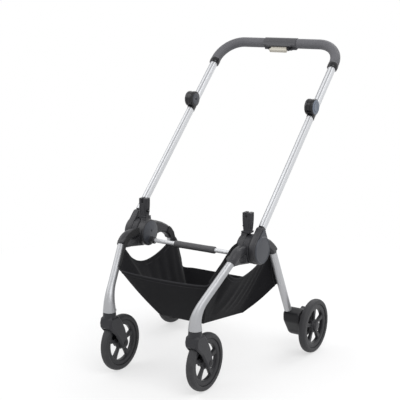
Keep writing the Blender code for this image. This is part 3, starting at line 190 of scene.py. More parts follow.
class Graph:
    """Node tree of one material or of the world."""

    # Places of a colour Mix node's sockets, whose names repeat.
    FIRST: ClassVar[int] = 6
    SECOND: ClassVar[int] = 7
    MIXED: ClassVar[int] = 2

    def __init__(self, owner: Union[bpy.types.Material, bpy.types.World]) -> None:
        """Switch the nodes of a new material or world on.

        Args:
            owner: The material or world.
        """
        owner.use_nodes = True
        self.owner = owner
        self.tree = owner.node_tree
        self.shader = self.tree.nodes.get("Principled BSDF", self.tree.nodes.get("Background"))

    def node(self, kind: str, settings: Optional[dict[str, Any]] = None,
             inputs: Optional[dict[Any, Any]] = None) -> bpy.types.Node:
        """Add a node.

        Args:
            kind: Blender's type name of the node.
            settings: Properties, which are set first.
            inputs: Values or links of its sockets, by name or number.

        Returns:
            The new node.
        """
        node = self.tree.nodes.new(kind)
        for key, value in (settings or {}).items():
            setattr(node, key, value)
        for key, value in (inputs or {}).items():
            self.feed(node.inputs[key], value)
        return node

    def feed(self, socket: bpy.types.NodeSocket, value: Any) -> None:
        """Link a socket or set its value.

        Args:
            socket: The input socket.
            value: A Value, an output socket or a plain value.
        """
        if isinstance(value, Value):
            value = value.socket
        if isinstance(value, bpy.types.NodeSocket):
            self.tree.links.new(value, socket)
        else:
            socket.default_value = value

    def maths(self, operation: str, first: Term, second: Term = 0.0, clamp: bool = False) -> Value:
        """Add a Math node.

        Args:
            operation: What the node works out.
            first: Its first term.
            second: Its second term.
            clamp: Whether the result is kept from 0 to 1.

        Returns:
            The result.
        """
        node = self.node("ShaderNodeMath", {"operation": operation, "use_clamp": clamp},
                         {0: first, 1: second})
        return Value(self, node.outputs[0])

    def place(self, turn: Triple = (0.0, 0.0, 0.0),
              scale: Triple = (1.0, 1.0, 1.0)) -> bpy.types.NodeSocket:
        """Object coordinates, turned and scaled.

        Args:
            turn: Turn about X, Y and Z in radians.
            scale: Scale along X, Y and Z.

        Returns:
            The vector socket.
        """
        source = self.node("ShaderNodeTexCoord")
        mapping = self.node("ShaderNodeMapping", {"vector_type": "TEXTURE"},
                            {"Vector": source.outputs["Object"], "Rotation": turn,
                             "Scale": tuple(1.0 / value for value in scale)})
        return mapping.outputs["Vector"]

    def noise(self, vector: bpy.types.NodeSocket, scale: float, detail: float = 3.0,
              rough: float = 0.5) -> Value:
        """Noise from 0 to 1.

        Args:
            vector: Where it is read.
            scale: Its waves to the metre.
            detail: Octaves.
            rough: Share of each further octave.

        Returns:
            The noise.
        """
        node = self.node("ShaderNodeTexNoise", {}, {"Vector": vector, "Scale": scale,
                                                    "Detail": detail, "Roughness": rough})
        return Value(self, node.outputs["Fac"])

    def cells(self, vector: bpy.types.NodeSocket, scale: float) -> Value:
        """Distance to the edge of a cell, for leather grain and foam.

        Args:
            vector: Where it is read.
            scale: Cells to the metre.

        Returns:
            The distance.
        """
        node = self.node("ShaderNodeTexVoronoi", {"feature": "DISTANCE_TO_EDGE"},
                         {"Vector": vector, "Scale": scale})
        return Value(self, node.outputs["Distance"])

    def seen(self) -> Value:
        """Rays that show a background.

        Returns:
            1 for rays from the camera, also by way of metal or glass, and 0 for others.
        """
        path = self.node("ShaderNodeLightPath")
        camera, glossy, clear = (Value(self, path.outputs["Is " + word + " Ray"])
                                 for word in ("Camera", "Glossy", "Transmission"))
        return self.maths("MAXIMUM", self.maths("MAXIMUM", camera, glossy), clear)

    def edges(self) -> Value:
        """Worn edges, from 0 on flats and hollows to 1 on sharp outer edges."""
        node = self.node("ShaderNodeNewGeometry")
        return ((Value(self, node.outputs["Pointiness"]) - 0.515) * 14.0).clamp()

    def blend(self, share: Term, first: Any, second: Any) -> bpy.types.NodeSocket:
        """Mix two colours.

        Args:
            share: Share of the second one.
            first: Colour at 0.
            second: Colour at 1.

        Returns:
            The mixed colour.
        """
        node = self.node("ShaderNodeMix", {"data_type": "RGBA"},
                         {"Factor": share, self.FIRST: first, self.SECOND: second})
        return node.outputs[self.MIXED]

    def relief(self, height: Value, depth: float, strength: float = 1.0) -> None:
        """Feed a height to the shader's normal.

        Args:
            height: Height from 0 to 1.
            depth: What 1 stands for, in metres.
            strength: How strongly it shows.
        """
        node = self.node("ShaderNodeBump", {}, {"Height": height, "Distance": depth,
                                                "Strength": strength})
        self.feed(self.shader.inputs["Normal"], node.outputs["Normal"])

    def hold(self, socket: str, value: float) -> None:
        """Set a number that is the same all over the surface on the shader's own socket."""
        self.shader.inputs[socket].default_value = value

    def output(self, **inputs: Any) -> Union[bpy.types.Material, bpy.types.World]:
        """Feed the shader.

        Args:
            inputs: What its sockets get, by their names in small letters.

        Returns:
            The material or world.
        """
        for key, value in inputs.items():
            self.feed(self.shader.inputs[key.replace("_", " ").title()], value)
        return self.owner


def tone(colour: Triple, factor: float = 1.0) -> tuple[float, float, float, float]:
    """A colour with alpha, made lighter or darker.

    Args:
        colour: Red, green and blue.
        factor: What each is multiplied by.

    Returns:
        The colour with alpha 1.
    """
    return (colour[0] * factor, colour[1] * factor, colour[2] * factor, 1.0)


# Finishes.


@dataclass(frozen=True)
class Finish:
    """Colour and gloss that every finish has."""

    name: str
    slot: str
    colour: Triple
    roughness: float

    def material(self) -> bpy.types.Material:
        """The Blender material, made once."""
        found = bpy.data.materials.get(self.name)
        return found or self.make(Graph(bpy.data.materials.new(self.name)))

    def make(self, graph: Graph) -> bpy.types.Material:
        """Build the nodes of the finish."""
        return graph.output(base_color=tone(self.colour), roughness=self.roughness)


@dataclass(frozen=True)
class MouldedPlastic(Finish):
    """Injection moulded plastic with a spark-eroded grain and edges rubbed a little lighter."""

    grain: float = 1900.0
    depth: float = 0.00012
    wear: float = 0.30
    wear_tone: float = 1.9
    mottle: float = 22.0
    coat: float = 0.0
    coat_roughness: float = 0.12
    sheen: float = 0.32

    def make(self, graph: Graph) -> bpy.types.Material:
        """Build the nodes of the finish.

        Args:
            graph: Node tree of the new material.

        Returns:
            The material.
        """
        here = graph.place()
        cloud = graph.noise(here, self.mottle, detail=4.0)
        grain = graph.noise(here, self.grain, detail=2.0, rough=0.6)
        rubbed = graph.edges() * self.wear
        body = graph.blend(cloud, tone(self.colour, 0.90), tone(self.colour, 1.10))
        worn = graph.blend(rubbed, body, tone(self.colour, self.wear_tone))
        graph.relief(grain, self.depth)
        graph.hold("Specular IOR Level", self.sheen)
        graph.hold("Coat Weight", self.coat)
        graph.hold("Coat Roughness", self.coat_roughness)
        return graph.output(base_color=worn,
                            roughness=cloud * 0.14 + (self.roughness - 0.07) - rubbed * 0.2)


@dataclass(frozen=True)
class SatinMetal(Finish):
    """Anodised aluminium tube, drawn lengthwise."""

    metallic: float = 0.82
    turn: float = 0.0
    drawn: Triple = (520.0, 520.0, 7.0)
    mottle: float = 14.0
    depth: float = 0.00001

    def make(self, graph: Graph) -> bpy.types.Material:
        """Build the nodes of the finish.

        Args:
            graph: Node tree of the new material.

        Returns:
            The material.
        """
        along = graph.place(turn=(self.turn, 0.0, 0.0), scale=self.drawn)
        streaks = graph.noise(along, 1.0, detail=3.0, rough=0.55)
        cloud = graph.noise(graph.place(), self.mottle, detail=3.0)
        body = graph.blend(streaks, tone(self.colour, 0.93), tone(self.colour, 1.06))
        graph.relief(streaks, self.depth, strength=0.4)
        graph.hold("Metallic", self.metallic)
        return graph.output(base_color=body,
                            roughness=streaks * 0.10 + cloud * 0.08 + (self.roughness - 0.09))


@dataclass(frozen=True)
class TyreRubber(Finish):
    """Foam-filled tyre skin with dust on the tread."""

    dust: Triple = (0.11, 0.108, 0.104)
    dust_share: float = 0.30
    mottle: float = 45.0
    pores: float = 2600.0
    depth: float = 0.00020

    def make(self, graph: Graph) -> bpy.types.Material:
        """Build the nodes of the finish.

        Args:
            graph: Node tree of the new material.

        Returns:
            The material.
        """
        here = graph.place()
        cloud = graph.noise(here, self.mottle, detail=5.0, rough=0.62)
        pores = graph.noise(here, self.pores, detail=2.0, rough=0.6)
        dusty = ((cloud - 0.52) * 3.0).clamp() * self.dust_share
        body = graph.blend(dusty, tone(self.colour), tone(self.dust))
        graph.relief(pores + cloud * 0.6, self.depth)
        return graph.output(base_color=body, roughness=cloud * 0.12 + (self.roughness - 0.06))


@dataclass(frozen=True)
class Leatherette(Finish):
    """Grained imitation leather of the grips, with painted shade darkening the creases between its
    pebbles.
    """

    pebble: float = 620.0
    pores: float = 3200.0
    mottle: float = 30.0
    depth: float = 0.00022

    def make(self, graph: Graph) -> bpy.types.Material:
        """Build the nodes of the finish.

        Args:
            graph: Node tree of the new material.

        Returns:
            The material.
        """
        here = graph.place()
        cells = (graph.cells(here, self.pebble) * 2.4).clamp()
        fine = graph.noise(here, self.pores, detail=2.0)
        cloud = graph.noise(here, self.mottle, detail=3.0)
        # The creases between the pebbles are painted darker: painted shade.
        creases_painted_shade = graph.blend(cells, tone(self.colour, 0.72), tone(self.colour, 1.05))
        body = graph.blend(cloud * 0.35, creases_painted_shade, tone(self.colour, 1.25))
        graph.relief(cells * 0.8 + fine * 0.2, self.depth, strength=0.9)
        return graph.output(base_color=body, roughness=(1.0 - cells) * 0.15 + self.roughness)


@dataclass(frozen=True)
class WovenCloth(Finish):
    """Plain woven polyester, read along the cloth's own map in metres."""

    pitch: float = 0.00085
    slubs: float = 900.0
    mottle: float = 9.0
    depth: float = 0.00022
    sheen: float = 0.04

    def make(self, graph: Graph) -> bpy.types.Material:
        """Build the nodes of the finish.

        Args:
            graph: Node tree of the new material.

        Returns:
            The material.
        """
        source = graph.node("ShaderNodeUVMap", {"uv_map": "weave"})
        split = graph.node("ShaderNodeSeparateXYZ", {}, {0: source.outputs["UV"]})
        turns = math.tau / self.pitch
        warp = (Value(graph, split.outputs[0]) * turns).sine()
        weft = (Value(graph, split.outputs[1]) * turns).sine()
        weave = warp * weft * 0.5 + 0.5
        here = graph.place()
        slub = graph.noise(here, self.slubs, detail=3.0, rough=0.6)
        cloud = graph.noise(here, self.mottle, detail=4.0)
        threads = graph.blend(weave, tone(self.colour, 0.75), tone(self.colour, 1.22))
        body = graph.blend(cloud * 0.4, threads, tone(self.colour, 1.5))
        graph.relief(weave * 0.7 + slub * 0.5, self.depth, strength=0.8)
        graph.hold("Specular IOR Level", 0.15)
        graph.hold("Sheen Weight", self.sheen)
        graph.hold("Sheen Roughness", 0.45)
        return graph.output(base_color=body, roughness=slub * 0.12 + (self.roughness - 0.06))


@dataclass(frozen=True)
class FoamSkin(Finish):
    """Closed-cell foam sleeve on the crossbar."""

    pores: float = 1100.0
    mottle: float = 40.0
    depth: float = 0.00022

    def make(self, graph: Graph) -> bpy.types.Material:
        """Build the nodes of the finish.

        Args:
            graph: Node tree of the new material.

        Returns:
            The material.
        """
        here = graph.place()
        cells = (graph.cells(here, self.pores) * 2.0).clamp()
        cloud = graph.noise(here, self.mottle, detail=3.0)
        body = graph.blend(cells, tone(self.colour, 0.8), tone(self.colour, 1.08))
        graph.relief(cells + cloud * 0.5, self.depth)
        return graph.output(base_color=body, roughness=cloud * 0.10 + (self.roughness - 0.05))


@dataclass(frozen=True)
class Webbing(FoamSkin):
    """Close webbing of the basket's straps, whose threads read as small cells."""


TUBE = SatinMetal("satin_tube", "satin_aluminium", (0.66, 0.67, 0.69), 0.48, metallic=0.60,
                  turn=-PLAN.lean)
# Darker copy of the tube's finish for the bottoms of the drawn grooves: painted shade in the
# grooves.
GROOVE_PAINTED_SHADE = SatinMetal("tube_groove", "satin_aluminium", (0.34, 0.345, 0.36), 0.55, metallic=0.45,
                    turn=-PLAN.lean)
# The front legs' copy of the satin aluminium is set darker than the rear legs' and the tubes':
# painted shade for how light falls on the front legs. REAR_LEG is the lighter copy of the same
# metal.
LEG_PAINTED_SHADE = SatinMetal("satin_leg", "satin_aluminium", (0.41, 0.415, 0.43), 0.38, metallic=0.58,
                 turn=math.radians(-43.9))
REAR_LEG = SatinMetal("satin_rear_leg", "satin_aluminium", (0.49, 0.495, 0.51), 0.40, metallic=0.58,
                      turn=math.radians(22.0))
BLACK = MouldedPlastic("black_plastic", "dark_plastic", (0.015, 0.015, 0.017), 0.40,
                       wear=0.10, sheen=0.24)
# Lighter copy of the black plastic for the fork, seat posts and rear arms: its lighter colour is
# painted highlight for their gloss.
DARK_PLASTIC_PAINTED_HIGHLIGHT = MouldedPlastic("fork_plastic", "dark_plastic", (0.027, 0.027, 0.031), 0.36,
                      wear=0.10, sheen=0.26)
CHARCOAL = MouldedPlastic("charcoal_plastic_finish", "charcoal_plastic", (0.034, 0.034, 0.038),
                          0.36, wear=0.16)
DISC = MouldedPlastic("disc_plastic", "blue_grey_plastic", (0.052, 0.056, 0.067), 0.36)
BUTTON = MouldedPlastic("button_plastic", "blue_grey_plastic", (0.150, 0.175, 0.220), 0.30,
                        wear=0.12)
GLOSS = MouldedPlastic("gloss_plastic", "dark_plastic", (0.007, 0.007, 0.009), 0.20,
                       depth=0.00004, wear=0.08, coat=0.35, sheen=0.22)
HOUSING = MouldedPlastic("housing_plastic", "charcoal_plastic", (0.070, 0.070, 0.077), 0.44)
PALE = MouldedPlastic("pale_plastic", "off_white_plastic", (0.58, 0.55, 0.48), 0.45, wear=0.05)
RIM = MouldedPlastic("rim_plastic", "wheel_plastic", (0.022, 0.022, 0.025), 0.38, sheen=0.26)
TYRE = TyreRubber("tyre_skin", "tyre_rubber", (0.026, 0.026, 0.029), 0.66)
GRIP = Leatherette("grip_leather", "grey_grip", (0.122, 0.122, 0.134), 0.52)
FOAM = FoamSkin("foam_skin", "grey_grip", (0.094, 0.094, 0.100), 0.70)
STEEL = SatinMetal("bright_steel", "steel_pin", (0.50, 0.50, 0.52), 0.28, metallic=1.0)
STRAP = Webbing("strap_webbing", "black_cloth", (0.0120, 0.0120, 0.0135), 0.80)
CLOTH = WovenCloth("basket_weave", "black_cloth", (0.0085, 0.0085, 0.0100), 0.85)
BINDING = WovenCloth("binding_tape", "black_cloth", (0.026, 0.026, 0.029), 0.78, pitch=0.0006)


# Modelling moves.


def put_down() -> None:
    """Leave edit mode and deselect everything."""
    if bpy.context.object is not None and bpy.context.object.mode != "OBJECT":
        bpy.ops.object.mode_set(mode="OBJECT")
    bpy.ops.object.select_all(action="DESELECT")


def take_up(item: bpy.types.Object) -> bpy.types.Object:
    """Make one object the selected and active one.

    Args:
        item: The object.

    Returns:
        The same object.
    """
    put_down()
    item.select_set(True)
    bpy.context.view_layer.objects.active = item
    return item


def settle(item: bpy.types.Object) -> bpy.types.Object:
    """Apply the object's place, turn and scale to its mesh.

    Args:
        item: The object.

    Returns:
        The same object.
    """
    take_up(item)
    bpy.ops.object.transform_apply(location=True, rotation=True, scale=True)
    return item


def close_up(item: bpy.types.Object, outward: bool = True) -> bpy.types.Object:
    """Merge doubles and turn the faces outward.

    Args:
        item: The object.
        outward: Whether the normals are recalculated.

    Returns:
        The same object.
    """
    take_up(item)
    bpy.ops.object.mode_set(mode="EDIT")
    bpy.ops.mesh.select_all(action="SELECT")
    bpy.ops.mesh.remove_doubles(threshold=MERGE)
    if outward:
        bpy.ops.mesh.normals_make_consistent(inside=False)
    bpy.ops.object.mode_set(mode="OBJECT")
    return item


def apply_modifier(item: bpy.types.Object, kind: str, **settings: Any) -> bpy.types.Object:
    """Add a modifier and apply it.

    Args:
        item: The object.
        kind: Type of the modifier.
        settings: Its properties.

    Returns:
        The same object.
    """
    take_up(item)
    modifier = item.modifiers.new(kind.lower(), kind)
    for key, value in settings.items():
        setattr(modifier, key, value)
    bpy.ops.object.modifier_apply(modifier=modifier.name)
    return item


def round_edges(item: bpy.types.Object, width: float, segments: int) -> bpy.types.Object:
    """Bevel the sharp edges.

    Args:
        item: The object.
        width: Width of the bevel.
        segments: Steps over it.

    Returns:
        The same object.
    """
    return apply_modifier(item, "BEVEL", width=width, segments=segments, limit_method="ANGLE",
                          angle_limit=math.radians(50.0))


def combine(item: bpy.types.Object, other: bpy.types.Object, operation: str) -> bpy.types.Object:
    """Boolean of two objects, which uses the second one up.

    Args:
        item: The object that stays.
        other: The tool.
        operation: UNION or DIFFERENCE.

    Returns:
        The first object.
    """
    apply_modifier(item, "BOOLEAN", operation=operation, solver="EXACT", object=other)
    bpy.data.objects.remove(other, do_unlink=True)
    return item


def smooth(item: bpy.types.Object, angle: float = 35.0) -> bpy.types.Object:
    """Shade round faces smooth and keep sharp edges.

    Args:
        item: The object.
        angle: Edges sharper than this stay sharp, in degrees.

    Returns:
        The same object.
    """
    take_up(item)
    bpy.ops.object.shade_smooth_by_angle(angle=math.radians(angle))
    return item


def first_point(name: str, point: Sequence[float]) -> bpy.types.Object:
    """Start a drawn shape with one selected point, in edit mode.

    Args:
        name: Name of the new object.
        point: Where the drawing starts.

    Returns:
        The object, in edit mode.
    """
    put_down()
    bpy.ops.mesh.primitive_plane_add(size=0.01, location=point)
    item = bpy.context.object
    item.name = name
    bpy.ops.object.transform_apply(location=True, rotation=True, scale=True)
    bpy.ops.object.mode_set(mode="EDIT")
    bpy.ops.mesh.select_all(action="SELECT")
    bpy.ops.mesh.merge(type="CENTER")
    return item


def draw(name: str, points: Sequence[Sequence[float]]) -> bpy.types.Object:
    """Draw a closed outline by extruding one point along it.

    Args:
        name: Name of the new object.
        points: Corners of the outline.

    Returns:
        The object, in edit mode with the outline selected.
    """
    item = first_point(name, points[0])
    ring = [Vector(point) for point in points]
    for here, after in zip(ring, ring[1:] + ring[:1]):
        bpy.ops.mesh.extrude_vertices_move(TRANSFORM_OT_translate={"value": tuple(after - here)})
    bpy.ops.mesh.select_all(action="SELECT")
    bpy.ops.mesh.remove_doubles(threshold=MERGE)
    return item


def turned(name: str, profile: Sequence[Pair], centre: Vector, axis: Axis = Axis.ACROSS,
           steps: int = 72) -> bpy.types.Object:
    """Turn a closed profile about an axis.

    Args:
        name: Name of the new object.
        profile: Corners of it as (radius, distance along the axis).
        centre: Point on the axis from which the distances count.
        axis: Direction of the axis.
        steps: Faces round the piece.

    Returns:
        The turned piece.
    """
    along = Vector(axis.value)
    out = Vector((0.0, 0.0, 1.0)) if axis is Axis.ACROSS else Vector((1.0, 0.0, 0.0))
    item = draw(name, [centre + along * station + out * radius for radius, station in profile])
    bpy.ops.mesh.select_all(action="SELECT")
    bpy.ops.mesh.spin(steps=steps, angle=math.tau, center=centre, axis=along)
    bpy.ops.object.mode_set(mode="OBJECT")
    close_up(item)
    return smooth(item)


def slab(name: str, outline: Sequence[Pair], low: float, high: float) -> bpy.types.Object:
    """Extrude a side outline across the chassis.

    Args:
        name: Name of the new object.
        outline: Corners as (y, z) in the row frame.
        low: First x.
        high: Last x.

    Returns:
        The closed slab.
    """
    item = draw(name, [(low, y, z) for y, z in outline])
    bpy.ops.mesh.edge_face_add()
    bpy.ops.mesh.extrude_region_move(TRANSFORM_OT_translate={"value": (high - low, 0.0, 0.0)})
    bpy.ops.object.mode_set(mode="OBJECT")
    return close_up(item)


def block(name: str, low: Vector, high: Vector) -> bpy.types.Object:
    """Rectangular block between two corners, for cutting and joining.

    Args:
        name: Name of the new object.
        low: Lowest corner.
        high: Highest corner.

    Returns:
        The block.
    """
    corners = [(low.y, low.z), (high.y, low.z), (high.y, high.z), (low.y, high.z)]
    return slab(name, corners, low.x, high.x)


def oval(half_a: float, half_b: float, count: int, power: float = 2.0) -> list[Pair]:
    """Section of a tube.

    Args:
        half_a: Half its width.
        half_b: Half its height.
        count: Points round it.
        power: 2 for an ellipse, more for a squarer section.

    Returns:
        The points of the section.
    """
    points = []
    for step in range(count):
        angle = math.tau * step / count
        cosine, sine = math.cos(angle), math.sin(angle)
        points.append((math.copysign(abs(cosine) ** (2 / power), cosine) * half_a,
                       math.copysign(abs(sine) ** (2 / power), sine) * half_b))
    return points


def grooved(section: Sequence[Pair], places: Sequence[float], depth: float,
            width: float) -> list[Pair]:
    """Press lengthwise grooves into a section.

    Args:
        section: Points of the section.
        places: Angles of the grooves in degrees.
        depth: Depth of each.
        width: Half its width in degrees.

    Returns:
        The pressed section.
    """
    pressed = []
    for u, v in section:
        radius = math.hypot(u, v)
        angle = math.degrees(math.atan2(v, u))
        drop = 0.0
        for place in places:
            apart = abs((angle - place + 180.0) % 360.0 - 180.0)
            if apart < width:
                drop = depth * math.cos(math.pi / 2 * apart / width) ** 0.6
        share = (radius - drop) / radius
        pressed.append((u * share, v * share))
    return pressed


def teardrop(first: Vector, wide: float, second: Vector, narrow: float,
             steps: int = 40) -> list[Pair]:
    """Side outline round two circles and the lines that touch both.

    Args:
        first: Centre of the larger circle.
        wide: Its radius.
        second: Centre of the smaller circle.
        narrow: Its radius.
        steps: Steps round each circle.

    Returns:
        Corners as (y, z).
    """
    away = second - first
    heading = math.atan2(away.z, away.y)
    spread = math.acos((wide - narrow) / math.hypot(away.y, away.z))
    points = []
    for centre, radius, low, high in ((first, wide, heading + spread, heading - spread + math.tau),
                                      (second, narrow, heading - spread, heading + spread)):
        for step in range(steps + 1):
            angle = low + (high - low) * step / steps
            points.append((centre.y + radius * math.cos(angle),
                           centre.z + radius * math.sin(angle)))
    return points


def through(points: Sequence[Sequence[float]], steps: int, closed: bool = False) -> list[Vector]:
    """Smooth line through points.

    Args:
        points: What it goes through, with any number of values each.
        steps: Steps from each point to the next.
        closed: Whether it returns to the start.

    Returns:
        The points of the line.
    """
    knots = [np.array(tuple(point), float) for point in points]
    count = len(knots)
    spans = count if closed else count - 1
    line = []
    for index in range(spans):
        if closed:
            before, start, end, after = (knots[(index + shift) % count] for shift in (-1, 0, 1, 2))
        else:
            before, start = knots[max(index - 1, 0)], knots[index]
            end, after = knots[index + 1], knots[min(index + 2, count - 1)]
        for step in range(steps):
            t = step / steps
            line.append(0.5 * (2 * start + (end - before) * t
                               + (2 * before - 5 * start + 4 * end - after) * t * t
                               + (3 * start - before - 3 * end + after) * t ** 3))
    if not closed:
        line.append(knots[-1])
    return [Vector(point.tolist()) for point in line]


def swept(name: str, path: Sequence[Vector], section: Sequence[Pair],
          sizes: Optional[Sequence[float]] = None, closed: bool = False,
          twist: str = "MINIMUM") -> bpy.types.Object:
    """Sweep a section along a path.

    Args:
        name: Name of the new object.
        path: Points of the path in the row frame.
        section: Closed section.
        sizes: Size of the section at each point, as a share.
        closed: Whether the path closes on itself.
        twist: How the section turns along the path.

    Returns:
        The swept piece.
    """
    guide = bpy.data.curves.new(name + "_guide", "CURVE")
    guide.dimensions = "3D"
    guide.twist_mode = twist
    line = guide.splines.new("POLY")
    line.points.add(len(path) - 1)
    line.use_cyclic_u = closed
    for index, (knot, point) in enumerate(zip(line.points, path)):
        knot.co = (*point, 1.0)
        knot.radius = 1.0 if sizes is None else sizes[index]
    ring = bpy.data.curves.new(name + "_ring", "CURVE")
    ring.dimensions = "2D"
    edge = ring.splines.new("POLY")
    edge.points.add(len(section) - 1)
    edge.use_cyclic_u = True
    for knot, (u, v) in zip(edge.points, section):
        knot.co = (u, v, 0.0, 1.0)
    ring_item = bpy.data.objects.new(name + "_ring", ring)
    bpy.context.scene.collection.objects.link(ring_item)
    guide.bevel_mode = "OBJECT"
    guide.bevel_object = ring_item
    guide.use_fill_caps = not closed
    item = bpy.data.objects.new(name, guide)
    bpy.context.scene.collection.objects.link(item)
    take_up(item)
    bpy.ops.object.convert(target="MESH")
    item = bpy.context.object
    item.name = name
    bpy.data.objects.remove(ring_item, do_unlink=True)
    close_up(item)
    return smooth(item, angle=50.0)


def copied(name: str, node: str) -> bpy.types.Object:
    """Merged copy of a node of the frame, to be worked finer.

    Args:
        name: Name of the new object.
        node: The node.

    Returns:
        The copy, as a closed mesh.
    """
    item = bpy.data.objects.new(name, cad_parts[node].data.copy())
    bpy.context.scene.collection.objects.link(item)
    item.data.materials.clear()
    close_up(item, outward=False)
    return item


def moulded(item: bpy.types.Object, voxel: float, rounds: int) -> bpy.types.Object:
    """Melt a rough body into one moulded skin with small fillets.

    Args:
        item: The rough body.
        voxel: Size of the skin's faces.
        rounds: How often the skin is evened out.

    Returns:
        The moulded piece.
    """
    apply_modifier(item, "REMESH", mode="VOXEL", voxel_size=voxel, use_smooth_shade=True)
    apply_modifier(item, "SMOOTH", factor=0.5, iterations=rounds)
    take_up(item)
    bpy.ops.object.shade_smooth()
    return item


def mirrored(item: bpy.types.Object, side: Side) -> bpy.types.Object:
    """Turn a left-hand piece into the piece of the side that is asked for.

    Args:
        item: A finished left-hand piece.
        side: The side.

    Returns:
        The same object.
    """
    if side is Side.RIGHT:
        take_up(item)
        bpy.ops.object.mode_set(mode="EDIT")
        bpy.ops.mesh.select_all(action="SELECT")
        bpy.ops.transform.resize(value=(-1.0, 1.0, 1.0), center_override=(0.0, 0.0, 0.0))
        bpy.ops.mesh.flip_normals()
        bpy.ops.object.mode_set(mode="OBJECT")
    return item


def dress(item: bpy.types.Object, finish: Finish) -> bpy.types.Object:
    """Give a piece its finish in place of what it wears.

    Args:
        item: The piece.
        finish: Its finish.

    Returns:
        The same object.
    """
    item.data.materials.clear()
    item.data.materials.append(finish.material())
    return item


def hand_over(item: bpy.types.Object, finish: Finish, body: str, *nodes: str) -> bpy.types.Object:
    """Dress a finished piece and fix it to its body.

    Args:
        item: The piece.
        finish: Its finish.
        body: The body that carries it.
        nodes: The nodes that it stands for.

    Returns:
        The same object.
    """
    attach(dress(item, finish), body)
    if nodes:
        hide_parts(*nodes)
    LOG.info("%s on %s", item.name, body)
    return item


@dataclass
class Handed:
    """A sub-assembly that is modelled for the left and made for either side."""

    kind: ClassVar[str] = ""
    side: Side

    def name(self, word: str) -> str:
        """Name of a piece or node of this side."""
        return self.kind + "_" + self.side.label + "_" + word

    def give(self, item: bpy.types.Object, finish: Finish, body: str, *nodes: str) -> None:
        """Put a left-hand piece on its side, dress it and fix it to its body.

        Args:
            item: The piece as modelled for the left.
            finish: Its finish.
            body: The body that carries it.
            nodes: The nodes that it stands for.
        """
        hand_over(mirrored(item, self.side), finish, body, *nodes)


# Wheels.


@dataclass
class Wheel:
    """Tyre and five-spoked rim."""

    prefix: str
    body: str
    centre: Vector
    tyre_half: float = 0.0125
    tyre_depth: float = 0.0165
    tyre_steps: int = 22
    tyre_wrap: float = 1.08
    side_power: float = 0.85
    crown_power: float = 0.62
    side_wall: float = 0.0040
    tread_depth: float = 0.0007
    tread_steps: tuple[int, int] = (7, 15)
    rim_half: float = 0.0085
    bead: float = 0.0600
    bead_lip: float = 0.0030
    web_half: float = 0.0058
    spokes: int = 5
    hub_flange: float = 0.0055
    outer_steps: int = 12
    inner_steps: int = 4
    spoke_outer: float = 0.0076
    spoke_inner: float = 0.0044
    hub_radius: float = 0.0165
    hub_half: float = 0.0140
    bore: float = 0.0048

    def tyre(self) -> bpy.types.Object:
        """Rounded tyre with two fine tread grooves.

        Returns:
            The tyre.
        """
        crown = PLAN.wheel_radius
        seat = crown - self.tyre_depth
        depth = self.tyre_depth - self.side_wall
        ring = [(seat, -self.tyre_half * 0.86)]
        for step in range(self.tyre_steps + 1):
            angle = math.pi * (step / self.tyre_steps - 0.5) * self.tyre_wrap
            along = math.copysign(abs(math.sin(angle)) ** self.side_power, angle) * self.tyre_half
            drop = (1.0 - max(math.cos(angle), 0.0) ** self.crown_power) * depth
            groove = self.tread_depth if step in self.tread_steps else 0.0
            ring.append((crown - drop - groove, along))
        ring.append((seat, self.tyre_half * 0.86))
        return turned(self.prefix + "_tyre_skin", ring, self.centre, steps=112)

    def opening(self, index: int) -> bpy.types.Object:
        """Cutter of one opening between two spokes.

        Args:
            index: Number of the opening.

        Returns:
            The cutter.
        """
        pitch = math.tau / self.spokes
        start = math.pi / 2 + pitch * index
        inner, outer = self.hub_radius + self.hub_flange, self.bead - self.bead_lip
        spread_out, spread_in = self.spoke_outer / outer, self.spoke_inner / inner
        corners = []
        for step in range(self.outer_steps + 1):
            angle = start + spread_out + (pitch - 2 * spread_out) * step / self.outer_steps
            corners.append((outer * math.cos(angle), outer * math.sin(angle)))
        for step in range(self.inner_steps + 1):
            angle = start + pitch - spread_in - (pitch - 2 * spread_in) * step / self.inner_steps
            corners.append((inner * math.cos(angle), inner * math.sin(angle)))
        outline = [(self.centre.y + y, self.centre.z + z) for y, z in corners]
        reach = 2 * self.hub_half
        return slab("opening", outline, self.centre.x - reach, self.centre.x + reach)

    def rim(self) -> bpy.types.Object:
        """Rim ring, dished web with five spokes, and hub barrel.

        Returns:
            The rim.
        """
        well = PLAN.wheel_radius - self.tyre_depth - FIT
        bead, rim, web = self.bead, self.rim_half, self.web_half
        hub, end = self.hub_radius, self.hub_half
        half = [(well, rim), (bead + 0.0035, rim), (bead, rim - 0.0006),
                (bead - self.bead_lip, web), (hub + 0.0060, web * 0.80), (hub + 0.0020, web),
                (hub, end - 0.0008), (hub - 0.0012, end), (0.0090, end), (0.0082, end - 0.0015),
                (self.bore, end - 0.0015)]
        profile = half + [(radius, -along) for radius, along in reversed(half)]
        rim = turned(self.prefix + "_rim_web", profile, self.centre, steps=96)
        for index in range(self.spokes):
            combine(rim, self.opening(index), "DIFFERENCE")
        return moulded(rim, voxel=0.0011, rounds=4)

    def cap(self) -> bpy.types.Object:
        """Domed cap over the outer end of the hub.

        Returns:
            The cap.
        """
        sign = math.copysign(1.0, self.centre.x)
        start = self.hub_half
        profile = [(0.0, start - 0.0010), (0.0124, start - 0.0010), (0.0124, start + 0.0003),
                   (0.0112, start + 0.0013), (0.0070, start + 0.0020), (0.0, start + 0.0021)]
        outward = [(radius, along * sign) for radius, along in profile]
        return turned(self.prefix + "_hub_cap", outward, self.centre, steps=48)

    def build(self) -> None:
        """Make and dress the wheel."""
        hand_over(self.tyre(), TYRE, self.body, self.prefix + "_tyre")
        hand_over(self.rim(), RIM, self.body, self.prefix + "_rim")
        if self.prefix.startswith("rear"):
            hand_over(self.cap(), CHARCOAL, self.body)


# Front frame.


